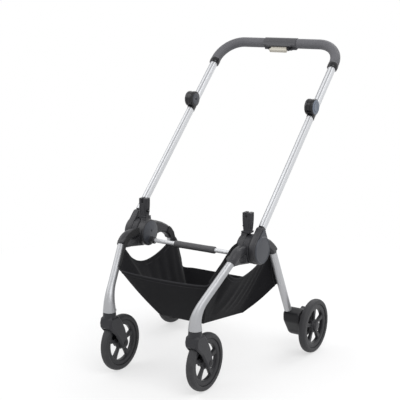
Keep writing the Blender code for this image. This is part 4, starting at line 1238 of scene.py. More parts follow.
@dataclass
class FrontLeg(Handed):
    """Satin leg from the hub bracket down to the caster, with its widened foot."""

    kind: ClassVar[str] = "front"
    radius: float = 0.0120
    foot_radius: float = 0.0205
    flare: float = 0.1100
    foot_z: float = 0.2045
    top: Triple = (0.2045, 0.0730, 0.3860)
    knee: Triple = (0.1718, -0.0200, 0.2895)
    bend_end: float = 0.0135
    steps: int = 24
    softness: float = 4e-7
    squareness: float = 2.15

    def line(self) -> list[Vector]:
        """Centre line: straight to the knee, then a curve to the upright foot.

        Returns:
            Its points from the front axle.
        """
        top, knee = Vector(self.top), Vector(self.knee)
        corner = knee + (knee - top) * ((knee.y - PLAN.swivel_y) / (top.y - knee.y))
        foot = Vector((PLAN.front_x, PLAN.swivel_y, self.foot_z))
        end = foot + Vector((0.0, 0.0, self.bend_end))
        points = [top.lerp(knee, step / 10) for step in range(10)]
        for step in range(self.steps + 1):
            share = step / self.steps
            points.append(knee.lerp(corner, share).lerp(corner.lerp(end, share), share))
        return points + [end.lerp(foot, share) for share in (0.35, 0.7, 1.0)]

    def size(self, z: float) -> float:
        """Radius at a height, widened towards the foot with a soft start."""
        wide = self.foot_radius - self.flare * (z - self.foot_z) - self.radius
        return self.radius + (wide + math.sqrt(wide * wide + self.softness)) / 2

    def build(self) -> None:
        """Make and dress the leg."""
        line = self.line()
        path = [PLAN.place(*point) for point in line]
        sizes = [self.size(point.z) for point in line]
        leg = swept(self.name("leg_tube"), path, oval(1.0, 1.0, 64, self.squareness), sizes)
        # The front legs wear the darker copy of the satin aluminium: painted shade.
        self.give(leg, LEG_PAINTED_SHADE, "front_frame", self.name("leg"))


@dataclass
class Hub(Handed):
    """Everything round one hub axis: boss, plate, socket, cover and seat post."""

    kind: ClassVar[str] = "hub"
    disc_radius: float = 0.0460
    disc_in_x: float = 0.2221
    disc_out_x: float = 0.2445
    cover_radius: float = 0.0435
    cover_out_x: float = 0.2500
    post_x: float = 0.1960
    post_y: float = 0.1880
    post_top: float = 0.5205
    post_foot: float = 0.4560
    post_spread: float = 0.28
    post_flare: float = 0.62
    post_half_x: float = 0.0115
    post_half_y: float = 0.0095
    rib_half: float = 0.0010
    rib_depth: float = 0.0012
    web: tuple[Pair, ...] = ((-0.0470, 0.0020), (-0.0760, -0.0040), (-0.0880, -0.0160),
                             (-0.0780, -0.0260), (-0.0470, -0.0320))
    above: tuple[Pair, ...] = ((-0.1300, 0.0000), (-0.1020, 0.0000), (-0.0780, 0.0120),
                               (-0.0520, 0.0170), (-0.0200, 0.0200), (-0.0200, 0.0700),
                               (-0.1300, 0.0700))
    sleeve: tuple[Triple, ...] = ((0.2040, 0.0716, 0.3846), (0.2060, 0.0850, 0.3972),
                                  (0.2056, 0.1010, 0.4065), (0.2035, 0.1220, 0.4110),
                                  (0.2005, 0.1560, 0.4120))
    sleeve_sizes: tuple[float, ...] = (0.0156, 0.0164, 0.0168, 0.0166, 0.0155)
    drum: tuple[Pair, ...] = ((0.0080, 0.1752), (0.0412, 0.1752), (0.0430, 0.1770),
                              (0.0430, 0.1998), (0.0080, 0.1998))
    plate: tuple[Pair, ...] = ((0.0, 0.1738), (0.0372, 0.1738), (0.0384, 0.1744),
                               (0.0384, 0.1756), (0.0, 0.1756))
    hole: tuple[Pair, ...] = ((0.0, 0.1700), (0.0032, 0.1700), (0.0032, 0.1752), (0.0, 0.1752))
    hole_at: Triple = (0.0, 0.0040, 0.0060)

    def body(self) -> None:
        """Round boss, and the bracket whose sleeve arches over the leg's top."""
        item = copied(self.name("boss"), "hub_left_body")
        for outline, low, high in ((self.web, 0.1800, 0.1955), (self.web, 0.2120, 0.2300),
                                   (self.above, 0.1800, 0.2300)):
            corners = [(PLAN.hub.y + y, PLAN.hub.z + z) for y, z in outline]
            combine(item, slab("pocket", corners, low, high), "DIFFERENCE")
        path = [PLAN.place(*point) for point in through(self.sleeve, steps=5)]
        widths = through([(size, 0.0, 0.0) for size in self.sleeve_sizes], steps=5)
        sizes = [width.x for width in widths]
        combine(item, swept("sleeve", path, oval(1.0, 1.0, 48), sizes), "UNION")
        combine(item, turned("drum", self.drum, PLAN.hub, steps=96), "UNION")
        moulded(item, voxel=0.0011, rounds=3)
        self.give(item, CHARCOAL, "front_frame", self.name("body"))

    def face(self) -> None:
        """Flat plate with a pin hole on the inner side of the boss."""
        plate = turned(self.name("face_plate"), self.plate, PLAN.hub, steps=96)
        hole = turned("hole", self.hole, PLAN.hub + Vector(self.hole_at), steps=24)
        combine(plate, hole, "DIFFERENCE")
        self.give(smooth(plate), DISC, "front_frame")

    def socket(self) -> None:
        """Outer disc with the teardrop socket of the lower tube."""
        tip = PLAN.beside_tube(0.0, 0.0, PLAN.socket_top - 0.0145)
        item = slab(self.name("teardrop"), teardrop(PLAN.hub, self.disc_radius, tip, 0.0148),
                    self.disc_in_x, self.disc_out_x)
        round_edges(item, width=0.0030, segments=3)
        self.give(smooth(item, angle=40.0), CHARCOAL, "handle_lower", self.name("handle_socket"))

    def cover(self) -> None:
        """Bare teardrop cover with a dished, rimmed disc."""
        start, edge, face = self.disc_out_x + 0.0001, self.cover_radius, self.cover_out_x
        profile = [(0.0, start), (edge - 0.0002, start), (edge, start + 0.0004),
                   (edge, start + 0.0024), (edge - 0.0008, start + 0.0036), (edge - 0.0028, face),
                   (edge - 0.0042, face), (edge - 0.0052, face - 0.0007),
                   (edge - 0.0060, face - 0.0012), (edge * 0.6, face - 0.0006),
                   (edge * 0.3, face - 0.0003), (0.0, face - 0.0002)]
        cap = turned(self.name("cap"), profile, PLAN.hub, steps=96)
        tip = PLAN.beside_tube(0.0, 0.0, PLAN.socket_top - 0.0135)
        plate = slab("plate", teardrop(PLAN.hub, edge - 0.0010, tip, 0.0080), start, start + 0.0020)
        combine(cap, round_edges(plate, width=0.0008, segments=2), "UNION")
        self.give(smooth(cap), DISC, "handle_lower", self.name("cover"))

    def post(self) -> None:
        """Seat post with ribs on its faces, wider towards its top."""
        item = copied("seat_post_" + self.side.label, "seat_adapter_left")
        low, high = self.post_foot + 0.0120, self.post_top - 0.0040
        side_ribs = [(face * self.post_half_x, offset, self.rib_depth, self.rib_half, high)
                     for offset in (-0.0052, 0.0, 0.0052) for face in (-1, 1)]
        face_ribs = [(offset, face * self.post_half_y, self.rib_half, self.rib_depth, high - 0.0180)
                     for offset in (-0.0070, 0.0070) for face in (-1, 1)]
        for across, behind, half_x, half_y, top in side_ribs + face_ribs:
            x, y = self.post_x + across, self.post_y + behind
            groove = block("groove", PLAN.place(x - half_x, y - half_y, low),
                           PLAN.place(x + half_x, y + half_y, top))
            combine(item, groove, "DIFFERENCE")
        moulded(item, voxel=0.0006, rounds=3)
        middle = PLAN.place(self.post_x, self.post_y, 0.0)
        height = self.post_top - self.post_foot
        for vertex in item.data.vertices:
            rise = min(max((vertex.co.z - self.post_foot) / height, 0.0), 1.0)
            wider = 1.0 + self.post_spread * math.sin(math.pi * min(rise * self.post_flare, 0.5))
            vertex.co.x = middle.x + (vertex.co.x - middle.x) * wider
            vertex.co.y = middle.y + (vertex.co.y - middle.y) * wider
        # The seat post wears the lighter copy of the black plastic: painted highlight.
        self.give(item, DARK_PLASTIC_PAINTED_HIGHLIGHT, "front_frame", "seat_adapter_" + self.side.label)
        latch = copied("seat_tooth_" + self.side.label, "seat_latch_left")
        moulded(latch, voxel=0.0004, rounds=3)
        self.give(latch, BLACK, "latch_" + self.side.label, "seat_latch_" + self.side.label)

    def build(self) -> None:
        """Make and dress the hub."""
        self.body()
        self.face()
        self.socket()
        self.cover()
        self.post()


@dataclass
class Crossbar:
    """Bar between the hubs with a foam sleeve."""

    y: float = 0.1900
    z: float = 0.3820
    radius: float = 0.0068
    half: float = 0.1557
    sleeve_radius: float = 0.0112
    sleeve_half: float = 0.0760

    def build(self) -> None:
        """Make and dress the bar and its sleeve."""
        places = [30.0 * step for step in range(12)]
        section = grooved(oval(self.radius, self.radius, 60), places, depth=0.0004, width=6.0)
        path = [PLAN.place(self.half * share, self.y, self.z)
                for share in (-1.0, -0.5, 0.0, 0.5, 1.0)]
        bar = swept("crossbar_tube", path, section)
        hand_over(bar, TUBE, "front_frame", "crossbar")
        inner, edge, half = self.radius + FIT, self.sleeve_radius, self.sleeve_half
        right = [(inner, half), (edge - 0.0022, half), (edge - 0.0006, half - 0.0008),
                 (edge, half - 0.0026), (edge, half - 0.0080), (edge - 0.0004, half - 0.0300)]
        profile = right + [(radius, -along) for radius, along in reversed(right)]
        sleeve = turned("crossbar_foam", profile, PLAN.place(0.0, self.y, self.z), steps=64)
        hand_over(sleeve, FOAM, "front_frame", "crossbar_sleeve")


@dataclass
class Caster(Handed):
    """Swivelling fork of one front wheel."""

    kind: ClassVar[str] = "front"
    head_radius: float = 0.0206
    band: Pair = (0.1994, 0.2008)
    band_depth: float = 0.0007
    cap_x: float = 0.0222

    def fork(self) -> None:
        """Moulded fork with a line round its head."""
        item = copied(self.name("fork_shell"), "front_left_fork")
        outer, inner = self.head_radius + 0.0040, self.head_radius - self.band_depth
        low, high = self.band
        line = turned("line", [(outer, low), (inner, low), (inner, high), (outer, high)],
                      PLAN.place(PLAN.front_x, PLAN.swivel_y, 0.0), Axis.UPRIGHT, 64)
        combine(item, line, "DIFFERENCE")
        moulded(item, voxel=0.0010, rounds=8)
        # The fork wears the lighter copy of the black plastic: painted highlight.
        self.give(item, DARK_PLASTIC_PAINTED_HIGHLIGHT, "caster_" + self.side.label, self.name("fork"))

    def caps(self) -> None:
        """Round caps over both ends of the axle."""
        for word, sign in (("outer", 1), ("inner", -1)):
            centre = PLAN.place(PLAN.front_x + sign * self.cap_x, 0.0, PLAN.wheel_radius)
            profile = [(0.0, -0.0010 * sign), (0.0092, -0.0010 * sign), (0.0092, 0.0006 * sign),
                       (0.0082, 0.0014 * sign), (0.0060, 0.0016 * sign), (0.0052, 0.0010 * sign),
                       (0.0, 0.0012 * sign)]
            cap = turned(self.name("axle_cap_" + word), profile, centre, steps=48)
            self.give(cap, BLACK, "caster_" + self.side.label)

    def lock(self) -> None:
        """Little swivel lock behind the head."""
        node = self.name("swivel_lock")
        item = moulded(copied(self.name("lock_tab"), node), voxel=0.0005, rounds=3)
        hand_over(item, BLACK, "swivel_lock_" + self.side.label, node)

    def build(self) -> None:
        """Make and dress the caster."""
        self.fork()
        self.caps()
        self.lock()


# Rear frame.


@dataclass
class RearSide(Handed):
    """Arm, leg and wheel housing of one side."""

    kind: ClassVar[str] = "rear"
    leg_top: Triple = (0.2005, 0.3385, 0.3605)
    leg_foot: Triple = (0.2140, 0.4245, 0.1480)
    leg_radius: float = 0.0125
    disc: tuple[Pair, ...] = ((0.0082, 0.2006), (0.0443, 0.2006), (0.0455, 0.2018),
                              (0.0455, 0.2203), (0.0443, 0.2214), (0.0082, 0.2214))
    drum_radius: float = 0.0400

    def arm(self) -> None:
        """Arched arm from the hub to the leg."""
        item = copied(self.name("arm_shell"), "rear_left_arm")
        combine(item, turned("disc", self.disc, PLAN.hub, steps=96), "UNION")
        moulded(item, voxel=0.0011, rounds=14)
        # The arm wears the lighter copy of the black plastic: painted highlight.
        self.give(item, DARK_PLASTIC_PAINTED_HIGHLIGHT, "rear_frame", self.name("arm"))

    def leg(self) -> None:
        """Round leg with four faint grooves."""
        top, foot = PLAN.place(*self.leg_top), PLAN.place(*self.leg_foot)
        path = [top.lerp(foot, step / 12) for step in range(13)]
        section = grooved(oval(self.leg_radius, self.leg_radius, 60),
                          (60.0, 120.0, 240.0, 300.0), depth=0.0004, width=5.0)
        item = swept(self.name("leg_tube"), path, section)
        self.give(item, REAR_LEG, "rear_frame", self.name("leg"))

    def housing(self) -> None:
        """Wheel housing with the drum of the brake."""
        item = copied(self.name("housing_shell"), "rear_left_housing")
        low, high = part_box("rear_left_housing")
        near, far, edge = low[0] + 0.0040, high[0] - 0.0005, self.drum_radius
        profile = [(0.0080, near), (edge - 0.0030, near), (edge, low[0] + 0.0070),
                   (edge, high[0] - 0.0030), (edge - 0.0020, far), (0.0080, far)]
        axle = PLAN.place(0.0, PLAN.rear_y, PLAN.wheel_radius)
        combine(item, turned("drum", profile, axle, steps=96), "UNION")
        moulded(item, voxel=0.0018, rounds=60)
        self.give(item, BLACK, "rear_frame", self.name("housing"))

    def build(self) -> None:
        """Make and dress the side."""
        self.arm()
        self.leg()
        self.housing()


@dataclass
class BrakePedal:
    """Foot pedal of the parking brake."""

    def build(self) -> None:
        """Make and dress the pedal."""
        item = moulded(copied("brake_tread", "brake_pedal"), voxel=0.0007, rounds=4)
        hand_over(item, CHARCOAL, "pedal", "brake_pedal")


# Handle.


@dataclass
class Handle:
    """Tubes, grips and collars of the handle."""

    tube_half_x: float = 0.0108
    tube_half_y: float = 0.0140
    upper_radius: float = 0.0130
    grip_radius: float = 0.0170
    grip_drop: float = 0.1070
    grip_end: float = 0.97
    collar_length: float = 0.0100
    collar_lap: float = 0.0085
    housing_half: float = 0.0630
    grooves: tuple[float, ...] = (66.0, 114.0, 246.0, 294.0)
    groove_shade_half: float = 10.5
    groove_width: float = 14.0
    groove_depth: float = 0.0005
    upper_start: float = 0.0160
    knuckle_room: Pair = (0.0278, 0.0200)
    collar_edge: float = 0.0180

    def drawn(self, half_a: float, half_b: float, power: float = 2.0) -> list[Pair]:
        """Section of a tube with its drawn grooves.

        Args:
            half_a: Half its width.
            half_b: Half its height.
            power: 2 for an ellipse, more for a squarer section.

        Returns:
            The points of the section.
        """
        return grooved(oval(half_a, half_b, 72, power), self.grooves, self.groove_depth,
                       self.groove_width)

    def paint_groove_shade(self, item: bpy.types.Object) -> None:
        """Paint shade into the drawn grooves: the faces at their bottom get a darker copy of the
        tube's finish.

        Args:
            item: A tube on the handle's line.
        """
        item.data.materials.append(GROOVE_PAINTED_SHADE.material())
        back = Matrix.Rotation(PLAN.lean, 4, "X")
        foot = PLAN.place(0.0, PLAN.tube_foot_y, PLAN.hub_z)
        for face in item.data.polygons:
            spot = back @ (face.center - foot)
            angle = math.degrees(math.atan2(spot.y, abs(spot.x) - PLAN.tube_x)) % 360.0
            apart = min(abs(angle - place) for place in self.grooves)
            # Faces at the bottom of a groove get the painted groove shade.
            if spot.z < PLAN.bar_at - PLAN.bend and apart < self.groove_shade_half:
                face.material_index = 1

    def path(self, start: float, stop: float, steps: int = 22) -> list[Vector]:
        """Line of the left half of the bar, from its leg round the bend.

        Args:
            start: Distance up the tube line.
            stop: Distance from the middle at which the line ends.
            steps: Steps round the bend.

        Returns:
            Points in the row frame.
        """
        corner_x = PLAN.tube_x - PLAN.bend
        corner_at = PLAN.bar_at - PLAN.bend
        line = [(PLAN.tube_x, start + (corner_at - start) * step / 6) for step in range(6)]
        for step in range(steps + 1):
            angle = math.pi / 2 * step / steps
            line.append((corner_x + PLAN.bend * math.cos(angle),
                         corner_at + PLAN.bend * math.sin(angle)))
        line += [(corner_x + (stop - corner_x) * step / 6, PLAN.bar_at) for step in range(1, 7)]
        return [PLAN.beside_tube(x, 0.0, along) for x, along in line]

    def lower_tube(self, side: Side) -> None:
        """Oval lower tube with its drawn grooves.

        Args:
            side: The side.
        """
        low = PLAN.socket_top + FIT
        high = PLAN.knuckle_at - PLAN.knuckle_socket - FIT
        path = [PLAN.beside_tube(PLAN.tube_x, 0.0, low + (high - low) * step / 16)
                for step in range(17)]
        item = swept("handle_" + side.label + "_lower_profile", path,
                     self.drawn(self.tube_half_x, self.tube_half_y, 2.3))
        node = "handle_" + side.label + "_lower_tube"
        self.paint_groove_shade(hand_over(mirrored(item, side), TUBE, "handle_lower", node))

    def upper_tube(self) -> None:
        """One tube bent into the pushing bar."""
        left = self.path(PLAN.knuckle_at + self.upper_start, 0.0)
        right = [Vector((-point.x, point.y, point.z)) for point in reversed(left[:-1])]
        item = swept("handle_upper_profile", left + right,
                     self.drawn(self.upper_radius, self.upper_radius))
        edge, half = self.knuckle_room
        for side in Side:
            centre = PLAN.beside_tube(PLAN.tube_x * side.value, -PLAN.knuckle_forward,
                                      PLAN.knuckle_at)
            room = turned("room", [(0.0, -half), (edge, -half), (edge, half), (0.0, half)],
                          centre, steps=64)
            combine(item, room, "DIFFERENCE")
        smooth(item, angle=50.0)
        self.paint_groove_shade(hand_over(item, TUBE, "handle_upper", "handle_upper_tube"))

    def grip(self, side: Side) -> None:
        """Grained sleeve with a sewn seam along its inner side.

        Args:
            side: The side.
        """
        path = self.path(PLAN.bar_at - self.grip_drop + self.collar_length + FIT,
                         self.housing_half + FIT)
        section = grooved(oval(self.grip_radius, self.grip_radius, 72), [180.0],
                          depth=0.0008, width=6.0)
        sizes = [1.0] * len(path)
        sizes[0] = sizes[-1] = self.grip_end
        item = mirrored(swept("grip_" + side.label + "_sleeve", path, section, sizes), side)
        hand_over(item, GRIP, "handle_upper", "grip_" + side.label)

    def collar(self, side: Side) -> None:
        """Gloss ring under a grip.

        Args:
            side: The side.
        """
        edge, top = self.collar_edge, self.collar_length + self.collar_lap
        inner, lap = self.upper_radius + FIT, self.grip_radius - 0.0014
        ledge = self.collar_length - 0.0010
        profile = [(inner, 0.0), (edge - 0.0022, 0.0), (edge - 0.0010, 0.0008),
                   (edge - 0.0004, 0.0022), (edge - 0.0004, 0.0060), (edge - 0.0012, 0.0066),
                   (edge - 0.0012, 0.0078), (edge, 0.0086), (edge, top - 0.0012),
                   (edge - 0.0006, top), (lap, top), (lap, ledge), (inner, ledge)]
        item = turned("grip_" + side.label + "_ring", profile, Vector(), Axis.UPRIGHT, 64)
        item.rotation_euler = (-PLAN.lean, 0.0, 0.0)
        item.location = PLAN.beside_tube(PLAN.tube_x * side.value, 0.0,
                                         PLAN.bar_at - self.grip_drop)
        settle(item)
        hand_over(item, GLOSS, "handle_upper", "grip_" + side.label + "_collar")

    def build(self) -> None:
        """Make and dress the handle."""
        self.upper_tube()
        for side in Side:
            self.lower_tube(side)
            self.grip(side)
            self.collar(side)


@dataclass
class Knuckle(Handed):
    """Tilting joint in one handle tube."""

    kind: ClassVar[str] = "knuckle"
    radius: float = 0.0270
    half: float = 0.0150
    slot: float = 0.0055
    bore: float = 0.0040
    button_radius: float = 0.0150
    ring_inner: float = 0.0154
    plate_radius: float = 0.0196
    plate_hole: float = 0.0034
    collar_half: Pair = (0.0122, 0.0152)
    collar_at: tuple[float, ...] = (-0.0325, -0.0318, -0.0290, -0.0220, -0.0120)
    neck: tuple[Pair, ...] = ((-0.0060, 0.0100), (-0.0020, 0.0250), (0.0, 0.0400))

    @property
    def centre(self) -> Vector:
        """Point on the joint's axis, in the plane of the left tube."""
        return PLAN.beside_tube(PLAN.tube_x, -PLAN.knuckle_forward, PLAN.knuckle_at)

    def cheek(self, name: str, near: float, far: float) -> bpy.types.Object:
        """One round cheek of the drum.

        Args:
            name: Name of the cheek.
            near: Its side next to the slot.
            far: Its outer side.

        Returns:
            The cheek.
        """
        edge, step = self.radius, math.copysign(1.0, far)
        profile = [(self.bore, near), (edge - 0.0008, near), (edge, near + 0.0008 * step),
                   (edge, far - 0.0030 * step), (edge - 0.0012, far - 0.0009 * step),
                   (edge - 0.0034, far), (self.bore, far)]
        return turned(name, profile, self.centre, steps=96)

    def cheeks(self) -> None:
        """Drum of two cheeks on a close collar round the lower tube."""
        item = self.cheek(self.name("drum"), self.slot, self.half)
        combine(item, self.cheek("inner_cheek", -self.slot, -self.half), "UNION")
        path = [PLAN.beside_tube(PLAN.tube_x, 0.0, PLAN.knuckle_at + along)
                for along in self.collar_at]
        collar = swept("collar", path, oval(*self.collar_half, 48, 2.3), (0.96, 1.0, 1.0, 1.0, 1.0))
        edge, half = self.radius + 0.0002, self.slot
        room = turned("room", [(0.0, -half), (edge, -half), (edge, half), (0.0, half)],
                      self.centre, steps=64)
        combine(collar, room, "DIFFERENCE")
        combine(item, collar, "UNION")
        self.give(smooth(item), GLOSS, "handle_lower", self.name("cheeks"))

    def tongue(self) -> None:
        """Round tongue in the slot, with the neck that enters the upper tube."""
        edge, thick = self.radius - 0.0007, self.slot - FIT
        profile = [(self.bore, -thick), (edge - 0.0006, -thick), (edge, -thick + 0.0006),
                   (edge, thick - 0.0006), (edge - 0.0006, thick), (self.bore, thick)]
        item = turned(self.name("tongue_plate"), profile, self.centre, steps=96)
        path = [PLAN.beside_tube(PLAN.tube_x, across, PLAN.knuckle_at + along)
                for across, along in self.neck]
        combine(item, swept("neck", path, oval(thick, 0.0100, 32, 4.0)), "UNION")
        self.give(smooth(item), GLOSS, "handle_upper", self.name("tongue"))

    def button(self) -> None:
        """Dished push button in the outer cheek."""
        base, top, edge = self.half - 0.0014, self.half + 0.0028, self.button_radius
        profile = [(0.0, base), (edge, base), (edge, top - 0.0012), (edge - 0.0006, top - 0.0003),
                   (edge - 0.0018, top), (edge - 0.0030, top - 0.0003), (edge * 0.5, top - 0.0010),
                   (0.0, top - 0.0012)]
        item = turned(self.name("press_pad"), profile, self.centre, steps=64)
        self.give(item, BUTTON, "knuckle_button_" + self.side.label, self.name("button"))

    def face_ring(self) -> None:
        """Blue-grey ring round the button on the outer cheek."""
        face, inner, edge = self.half, self.ring_inner, self.radius - 0.0034
        profile = [(inner, face - 0.0004), (inner, face + 0.0010), (inner + 0.0006, face + 0.0014),
                   (edge - 0.0012, face + 0.0014), (edge, face + 0.0006), (edge, face - 0.0004)]
        item = turned(self.name("face_ring"), profile, self.centre, steps=96)
        self.give(item, BUTTON, "handle_lower")

    def inner_plate(self) -> None:
        """Round plate with a pin hole on the inner cheek."""
        face, hole, edge = -self.half, self.plate_hole, self.plate_radius
        profile = [(hole, face + 0.0004), (hole, face - 0.0008), (hole + 0.0008, face - 0.0012),
                   (edge - 0.0011, face - 0.0012), (edge, face - 0.0006), (edge, face + 0.0004)]
        item = turned(self.name("inner_plate"), profile, self.centre, steps=64)
        self.give(item, DISC, "handle_lower")

    def build(self) -> None:
        """Make and dress the knuckle."""
        self.cheeks()
        self.tongue()
        self.button()
        self.face_ring()
        self.inner_plate()


@dataclass
class ReleaseUnit:
    """Housing round the middle of the bar, with its lever and slider."""

    def build(self) -> None:
        """Make and dress the unit."""
        for half in ("front", "rear"):
            node = "release_housing_" + half
            shell = moulded(copied("release_shell_" + half, node), voxel=0.0008, rounds=4)
            hand_over(shell, HOUSING, "handle_upper", node)
        lever = moulded(copied("release_squeeze_bar", "release_lever"), voxel=0.0006, rounds=5)
        hand_over(lever, PALE, "lever", "release_lever")
        slider = moulded(copied("release_slide_tab", "release_slider"), voxel=0.0004, rounds=3)
        hand_over(slider, BLACK, "slider", "release_slider")


# Basket.


@dataclass
class Basket:
    """Cloth basket hung from the four legs, with its hem tape, seam and straps."""

    floor_front: Triple = (0.0820, 0.1100, 0.1640)
    floor_rear: Triple = (0.1000, 0.3180, 0.1460)
    front_run: int = 4
    rear_run: int = 3
    smoothing: int = 8
    wall_rows: int = 30
    floor_rows: int = 10
    sag: float = 0.0060
    cloth: float = 0.0013
    spine: Pair = (0.150, 0.280)
    middle_y: float = 0.19
    fold_reach: float = 1.15
    fold_power: float = 0.7
    fold_from: float = 0.09
    fold_over: float = 0.03
    seam_drop: float = 0.0125
    seam_proud: float = 0.0007
    seam_half: Pair = (0.0011, 0.0013)
    tape_half: Pair = (0.0014, 0.0022)
    strap_half: Pair = (0.0008, 0.0105)
    flat_size: Pair = (0.62, 0.60)
    flat_area: float = 0.2520
    front_strap: tuple[Triple, ...] = ((0.1690, 0.0180, 0.3300), (0.1755, 0.0380, 0.3520),
                                       (0.1845, 0.0620, 0.3790), (0.1885, 0.0800, 0.3990),
                                       (0.1885, 0.0980, 0.4120), (0.1870, 0.1200, 0.4190),
                                       (0.1850, 0.1440, 0.4210))
    rear_strap: tuple[Triple, ...] = ((0.1838, 0.3360, 0.3380), (0.1846, 0.3340, 0.3560),
                                      (0.1852, 0.3290, 0.3720), (0.1854, 0.3200, 0.3850),
                                      (0.1854, 0.3080, 0.3940))
    # Half of the upper edge, from the middle of the front to the middle of the rear.
    hem: tuple[Triple, ...] = (
        (0.0000, -0.0020, 0.3200), (0.0500, -0.0020, 0.3205), (0.1000, -0.0015, 0.3220),
        (0.1420, 0.0005, 0.3240), (0.1640, 0.0080, 0.3260), (0.1735, 0.0235, 0.3390),
        (0.1822, 0.0470, 0.3620), (0.1876, 0.0640, 0.3760), (0.1860, 0.0780, 0.3620),
        (0.1845, 0.0980, 0.3400), (0.1840, 0.1300, 0.3220), (0.1835, 0.1700, 0.3140),
        (0.1835, 0.2150, 0.3180), (0.1840, 0.2600, 0.3290), (0.1845, 0.3050, 0.3460),
        (0.1854, 0.3400, 0.3580), (0.1858, 0.3590, 0.3420), (0.1862, 0.3720, 0.3060),
        (0.1862, 0.3850, 0.2700), (0.1862, 0.3950, 0.2400), (0.1400, 0.3980, 0.2400),
        (0.0700, 0.3980, 0.2400), (0.0000, 0.3980, 0.2400))
    # Folds of a side wall: place at the hem, place at the floor, height and width.
    folds: tuple[tuple[float, float, float, float], ...] = (
        (0.120, 0.118, 0.0030, 0.012), (0.185, 0.150, 0.0042, 0.013),
        (0.238, 0.190, 0.0036, 0.012), (0.290, 0.232, 0.0040, 0.014),
        (0.335, 0.275, 0.0030, 0.012))

    def floor_edge(self) -> list[Vector]:
        """Point of the floor's edge under each point of the half hem.

        Returns:
            The points, from the front axle.
        """
        hem = self.hem
        front, rear = Vector(self.floor_front), Vector(self.floor_rear)
        last = len(hem) - 1
        edge = []
        for index, point in enumerate(hem):
            if index <= self.front_run:
                edge.append(Vector((front.x * index / self.front_run, front.y, front.z)))
            elif index >= last - self.rear_run:
                edge.append(Vector((rear.x * (last - index) / self.rear_run, rear.y, rear.z)))
            else:
                start = hem[self.front_run][1]
                share = (point[1] - start) / (hem[last - self.rear_run][1] - start)
                edge.append(front.lerp(rear, share))
        return edge

    def around(self, half: Sequence[Sequence[float]]) -> list[Vector]:
        """Close a half line over both sides and smooth it.

        Args:
            half: Points from the middle of the front to the middle of the rear.

        Returns:
            Points all round the basket.
        """
        right = [(-point[0], point[1], point[2]) for point in reversed(half[1:-1])]
        return through([tuple(point) for point in half] + right, self.smoothing, closed=True)

    def fold(self, x: float, y: float, share: float) -> float:
        """How far the cloth of a side wall bulges outward.

        Args:
            x: Distance from the middle.
            y: Distance behind the front axle.
            share: 0 at the hem and 1 at the floor.

        Returns:
            The bulge in metres.
        """
        bulge = 0.0
        for at_hem, at_floor, height, width in self.folds:
            ridge = at_hem + (at_floor - at_hem) * share
            bulge += height * math.exp(-((y - ridge) / width) ** 2)
        lower = math.pi * min(max(share * self.fold_reach, 0.0), 1.0)
        outer = min(max((abs(x) - self.fold_from) / self.fold_over, 0.0), 1.0)
        return bulge * math.sin(lower) ** self.fold_power * outer

    def rows(self) -> list[list[Vector]]:
        """Rings of points from the hem down to the middle of the floor.

        Returns:
            The rings.
        """
        hem, edge = self.around(self.hem), self.around(self.floor_edge())
        near, far = self.spine
        rows = []
        for row in range(self.wall_rows + 1):
            share = row / self.wall_rows
            ring = []
            for top, foot in zip(hem, edge):
                point = top.lerp(foot, share)
                point.z -= self.sag * math.sin(math.pi * share)
                point.x += math.copysign(self.fold(point.x, point.y, share), point.x)
                ring.append(point)
            rows.append(ring)
        spine_z = (self.floor_front[2] + self.floor_rear[2]) / 2 - self.sag
        for row in range(1, self.floor_rows + 1):
            share = row / self.floor_rows
            ring = []
            for foot in edge:
                spine = Vector((0.0, min(max(foot.y, near), far), spine_z))
                ring.append(foot.lerp(spine, share))
            rows.append(ring)
        return rows

    def sheet(self) -> bpy.types.Object:
        """The cloth itself, with its weave map in metres.

        Returns:
            The cloth.
        """
        rows = self.rows()
        count = len(rows[0])
        points = [PLAN.place(*point) for ring in rows for point in ring]
        faces = []
        for row in range(len(rows) - 1):
            for column in range(count):
                after = (column + 1) % count
                faces.append((row * count + column, row * count + after,
                              (row + 1) * count + after, (row + 1) * count + column))
        mesh = bpy.data.meshes.new("basket_cloth")
        mesh.from_pydata(points, [], faces)
        item = bpy.data.objects.new("basket_cloth", mesh)
        bpy.context.scene.collection.objects.link(item)
        self.weave_map(item, rows)
        close_up(item)
        apply_modifier(item, "SOLIDIFY", thickness=self.cloth, offset=0.0)
        return smooth(item, angle=60.0)

    def weave_map(self, item: bpy.types.Object, rows: list[list[Vector]]) -> None:
        """Lay the threads round and down the basket.

        Args:
            item: The cloth before its thickness.
            rows: Its rings of points.
        """
        count = len(rows[0])
        middle = rows[self.wall_rows // 2]
        round_at = [0.0]
        for column in range(count):
            round_at.append(round_at[-1] + (middle[(column + 1) % count] - middle[column]).length)
        down_at = [0.0]
        for upper, lower in zip(rows, rows[1:]):
            down_at.append(down_at[-1] + sum((a - b).length for a, b in zip(upper, lower)) / count)
        layer = item.data.uv_layers.new(name="weave")
        for face in item.data.polygons:
            column = face.index % count
            row = face.index // count
            spots = ((column, row), (column + 1, row), (column + 1, row + 1), (column, row + 1))
            for loop, (across, down) in zip(face.loop_indices, spots):
                layer.data[loop].uv = (round_at[across], down_at[down])

    def binding(self) -> bpy.types.Object:
        """Tape that is sewn over the upper edge."""
        path = [PLAN.place(*point) for point in self.around(self.hem)]
        return swept("basket_binding", path, oval(*self.tape_half, 10), closed=True, twist="Z_UP")

    def seam(self) -> bpy.types.Object:
        """Raised seam a thumb's width under the hem.

        Returns:
            The seam.
        """
        path = []
        for top, foot in zip(self.around(self.hem), self.around(self.floor_edge())):
            share = self.seam_drop / max((foot - top).length, 0.05)
            point = top.lerp(foot, share)
            point.z -= self.sag * math.sin(math.pi * share)
            outward = Vector((point.x, point.y - self.middle_y, 0.0)).normalized()
            path.append(PLAN.place(*(point + outward * self.seam_proud)))
        return swept("basket_seam", path, oval(*self.seam_half, 10), closed=True, twist="Z_UP")

